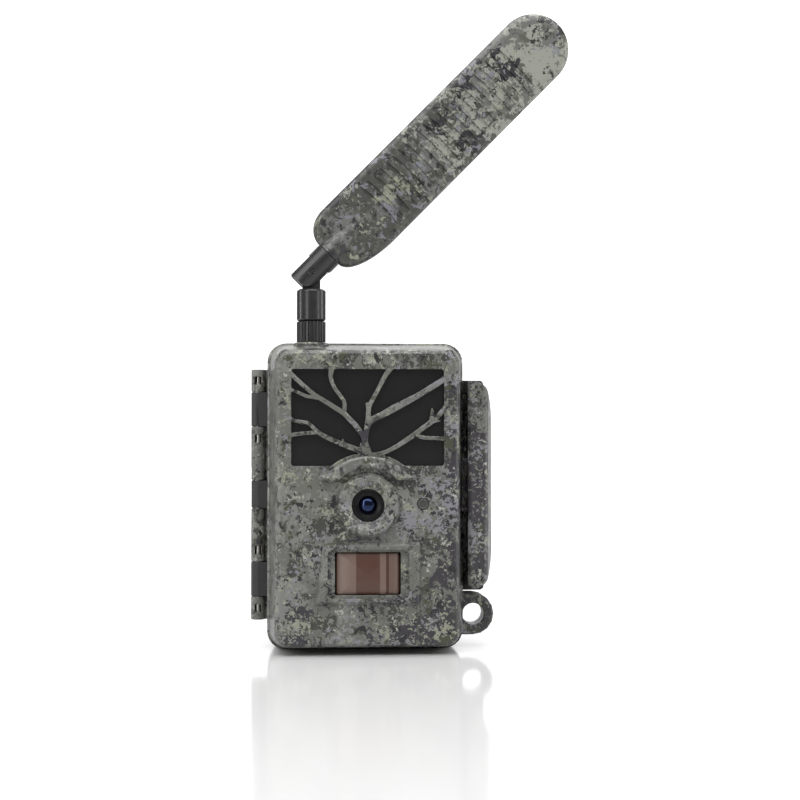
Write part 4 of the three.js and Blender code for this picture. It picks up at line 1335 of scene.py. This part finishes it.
@dataclass
class Studio:
    """A pale glossy floor, a lit backdrop, soft boxes and the camera."""

    eye: tuple[float, float, float] = (-0.033, -0.715, 0.0986)
    target: tuple[float, float, float] = (0.0157, -0.011, 0.1124)
    lens: float = 70.0
    air: float = 0.25
    near_mm: float = 500.0
    far_mm: float = 1500.0
    boxes: tuple[SoftBox, ...] = (
        SoftBox("key_box", -8.0, 52.0, 1.5, (2.6, 0.95), 3.2),
        SoftBox("top_strip", 0.0, 88.0, 1.2, (1.4, 0.25), 9.0),
        SoftBox("left_box", -36.0, 12.0, 1.3, (0.22, 1.0), 5.5),
        SoftBox("right_box", 58.0, 12.0, 1.3, (0.22, 1.0), 5.0),
        SoftBox("left_edge", -96.0, 6.0, 1.2, (0.14, 1.2), 9.0),
        SoftBox("right_edge", 96.0, 6.0, 1.2, (0.14, 1.2), 9.0),
        SoftBox("back_fill", 180.0, 40.0, 1.6, (1.4, 1.0), 1.6),
    )

    def hang(self, box: SoftBox) -> None:
        """Hangs one rectangular area light that faces the middle of the object.

        Args:
            box: where it hangs, its size and its brightness.
        """
        middle = Vector((0.0, -0.01, 0.12))
        turn, rise = math.radians(box.azimuth), math.radians(box.elevation)
        way = Vector((math.sin(turn) * math.cos(rise), -math.cos(turn) * math.cos(rise), math.sin(rise)))
        data = bpy.data.lights.new(box.name, "AREA")
        data.shape = "RECTANGLE"
        data.size, data.size_y = box.size
        data.energy = box.radiance * math.pi * box.size[0] * box.size[1]
        light = bpy.data.objects.new(box.name, data)
        light.location = middle + way * box.distance
        light.rotation_euler = (-way).to_track_quat("-Z", "Y").to_euler()
        bpy.context.scene.collection.objects.link(light)

    def sheet(self, name: str, corners: list[tuple], material: bpy.types.Material) -> None:
        """Lays one flat sheet of the stage.

        Args:
            name: the sheet's name.
            corners: its four corners, in metres.
            material: its finish.
        """
        mesh = bpy.data.meshes.new(name)
        mesh.from_pydata(corners, [], [[0, 1, 2, 3]])
        sheet = bpy.data.objects.new(name, mesh)
        bpy.context.scene.collection.objects.link(sheet)
        dress(sheet, material)

    def floor(self) -> None:
        """Lays a glossy white floor and hangs a glowing white backdrop far behind it."""
        half, far, high = 6.0, 3.5, 1.6
        material, _, shader = new_material("white_acrylic_floor")
        shader.inputs["Base Color"].default_value = linear("dedede")
        shader.inputs["Roughness"].default_value = 0.1
        shader.inputs["IOR"].default_value = 1.45
        self.even_out(material)
        ground = [(-half, -half, 0), (half, -half, 0), (half, half, 0), (-half, half, 0)]
        self.sheet("studio_floor", ground, material)
        glow, _, shader = new_material("lit_white_backdrop")
        shader.inputs["Base Color"].default_value = linear("000000")
        shader.inputs["Emission Color"].default_value = linear("ffffff")
        shader.inputs["Emission Strength"].default_value = 1.35
        wide = 1.5
        wall = [(-wide, far, 0.0), (wide, far, 0.0), (wide, far, high), (-wide, far, high)]
        self.sheet("studio_backdrop", wall, glow)

    def even_out(self, material: bpy.types.Material) -> None:
        """Lets the far floor glow as white as the air behind it, so that no horizon shows.

        The glow rises from none at near_mm to its full strength at far_mm from the object, and
        only the eye sees it: it throws no light on the object.

        Args:
            material: the floor's finish.
        """
        tree = material.node_tree
        shader = tree.nodes["Principled BSDF"]
        place = add_node(tree, "ShaderNodeTexCoord").outputs["Object"]
        distance = add_node(tree, "ShaderNodeVectorMath", {0: place}, operation="LENGTH")
        rise = add_node(
            tree,
            "ShaderNodeMapRange",
            {
                "Value": distance.outputs["Value"],
                "From Min": self.near_mm * MM,
                "From Max": self.far_mm * MM,
            },
            interpolation_type="SMOOTHSTEP",
        )
        seen = add_node(tree, "ShaderNodeLightPath").outputs["Is Camera Ray"]
        glow = add_node(
            tree, "ShaderNodeMath", {0: rise.outputs["Result"], 1: seen}, operation="MULTIPLY"
        )
        shader.inputs["Emission Color"].default_value = linear("ffffff")
        tree.links.new(glow.outputs["Value"], shader.inputs["Emission Strength"])

    def world(self) -> None:
        """Fills the room with dim even light, and shows it white to the eye."""
        world = bpy.data.worlds.new("studio_air")
        world.use_nodes = True
        tree = world.node_tree
        sky = tree.nodes["Background"]
        sky.inputs["Color"].default_value = linear("ffffff")
        seen = add_node(tree, "ShaderNodeLightPath").outputs["Is Camera Ray"]
        strength = add_node(
            tree, "ShaderNodeMapRange", {"Value": seen, "To Min": self.air, "To Max": 1.0}
        )
        tree.links.new(strength.outputs["Result"], sky.inputs["Strength"])
        bpy.context.scene.world = world

    def build(self) -> None:
        """Sets up the floor, the light and the camera."""
        self.floor()
        self.world()
        for box in self.boxes:
            self.hang(box)
        data = bpy.data.cameras.new("studio_camera")
        data.lens = self.lens
        data.sensor_width = 36.0
        data.clip_start = 0.01
        camera = bpy.data.objects.new("studio_camera", data)
        camera.location = self.eye
        aim = Vector(self.target) - Vector(self.eye)
        camera.rotation_euler = aim.to_track_quat("-Z", "Y").to_euler()
        bpy.context.scene.collection.objects.link(camera)
        bpy.context.scene.camera = camera


def main() -> None:
    """Builds every sub-assembly in order and dresses it."""
    logging.basicConfig(level=logging.INFO)
    bpy.context.scene.view_settings.view_transform = "Standard"
    Studio().build()
    nylon = NYLON.build()
    steel = STEEL.build()
    rubber = RUBBER.build()
    laminate = LAMINATE.build()
    gloss = GLOSS_BLACK.build()
    chassis = CHASSIS_NYLON.build()
    film = CASE_FILM.build()
    # The chassis nylon also dresses the latch strip, as painted shade in the gap behind the latch.
    CaseHalves(film, chassis).build()
    SideLatch(film).build()
    LensStack(gloss, OPTICAL.build()).build()
    MotionSensor(SensorFilm().build()).build()
    Antenna(PADDLE_FILM.build(), nylon, nylon).build()
    BatteryCells(JACKET.build()).build()
    SocketScrews(steel).build()
    PlainParts(
        {
            "chassis": chassis,
            "battery_tray": chassis,
            "tree_bracket": nylon,
            "camera_module": chassis,
            "lens_barrel": chassis,
            "power_switch": nylon,
            "dc_jack": nylon,
            "led_window": ACRYLIC.build(),
            "status_light": STATUS.build(),
            "case_gasket": rubber,
            "dc_plug": rubber,
            "key_": rubber,
            "antenna_pigtail": rubber,
            "antenna_board": laminate,
            "main_board": laminate,
            "led_board": laminate,
            "antenna_jack": BRASS.build(),
            "tripod_insert": bpy.data.materials["brass_turned"],
            "hinge_pin": steel,
            "latch_pin": steel,
            "pir_sensor": steel,
            "display": SCREEN.build(),
            "sd_card": CARD.build(),
        }
    ).build()


if __name__ == "__main__":
    main()
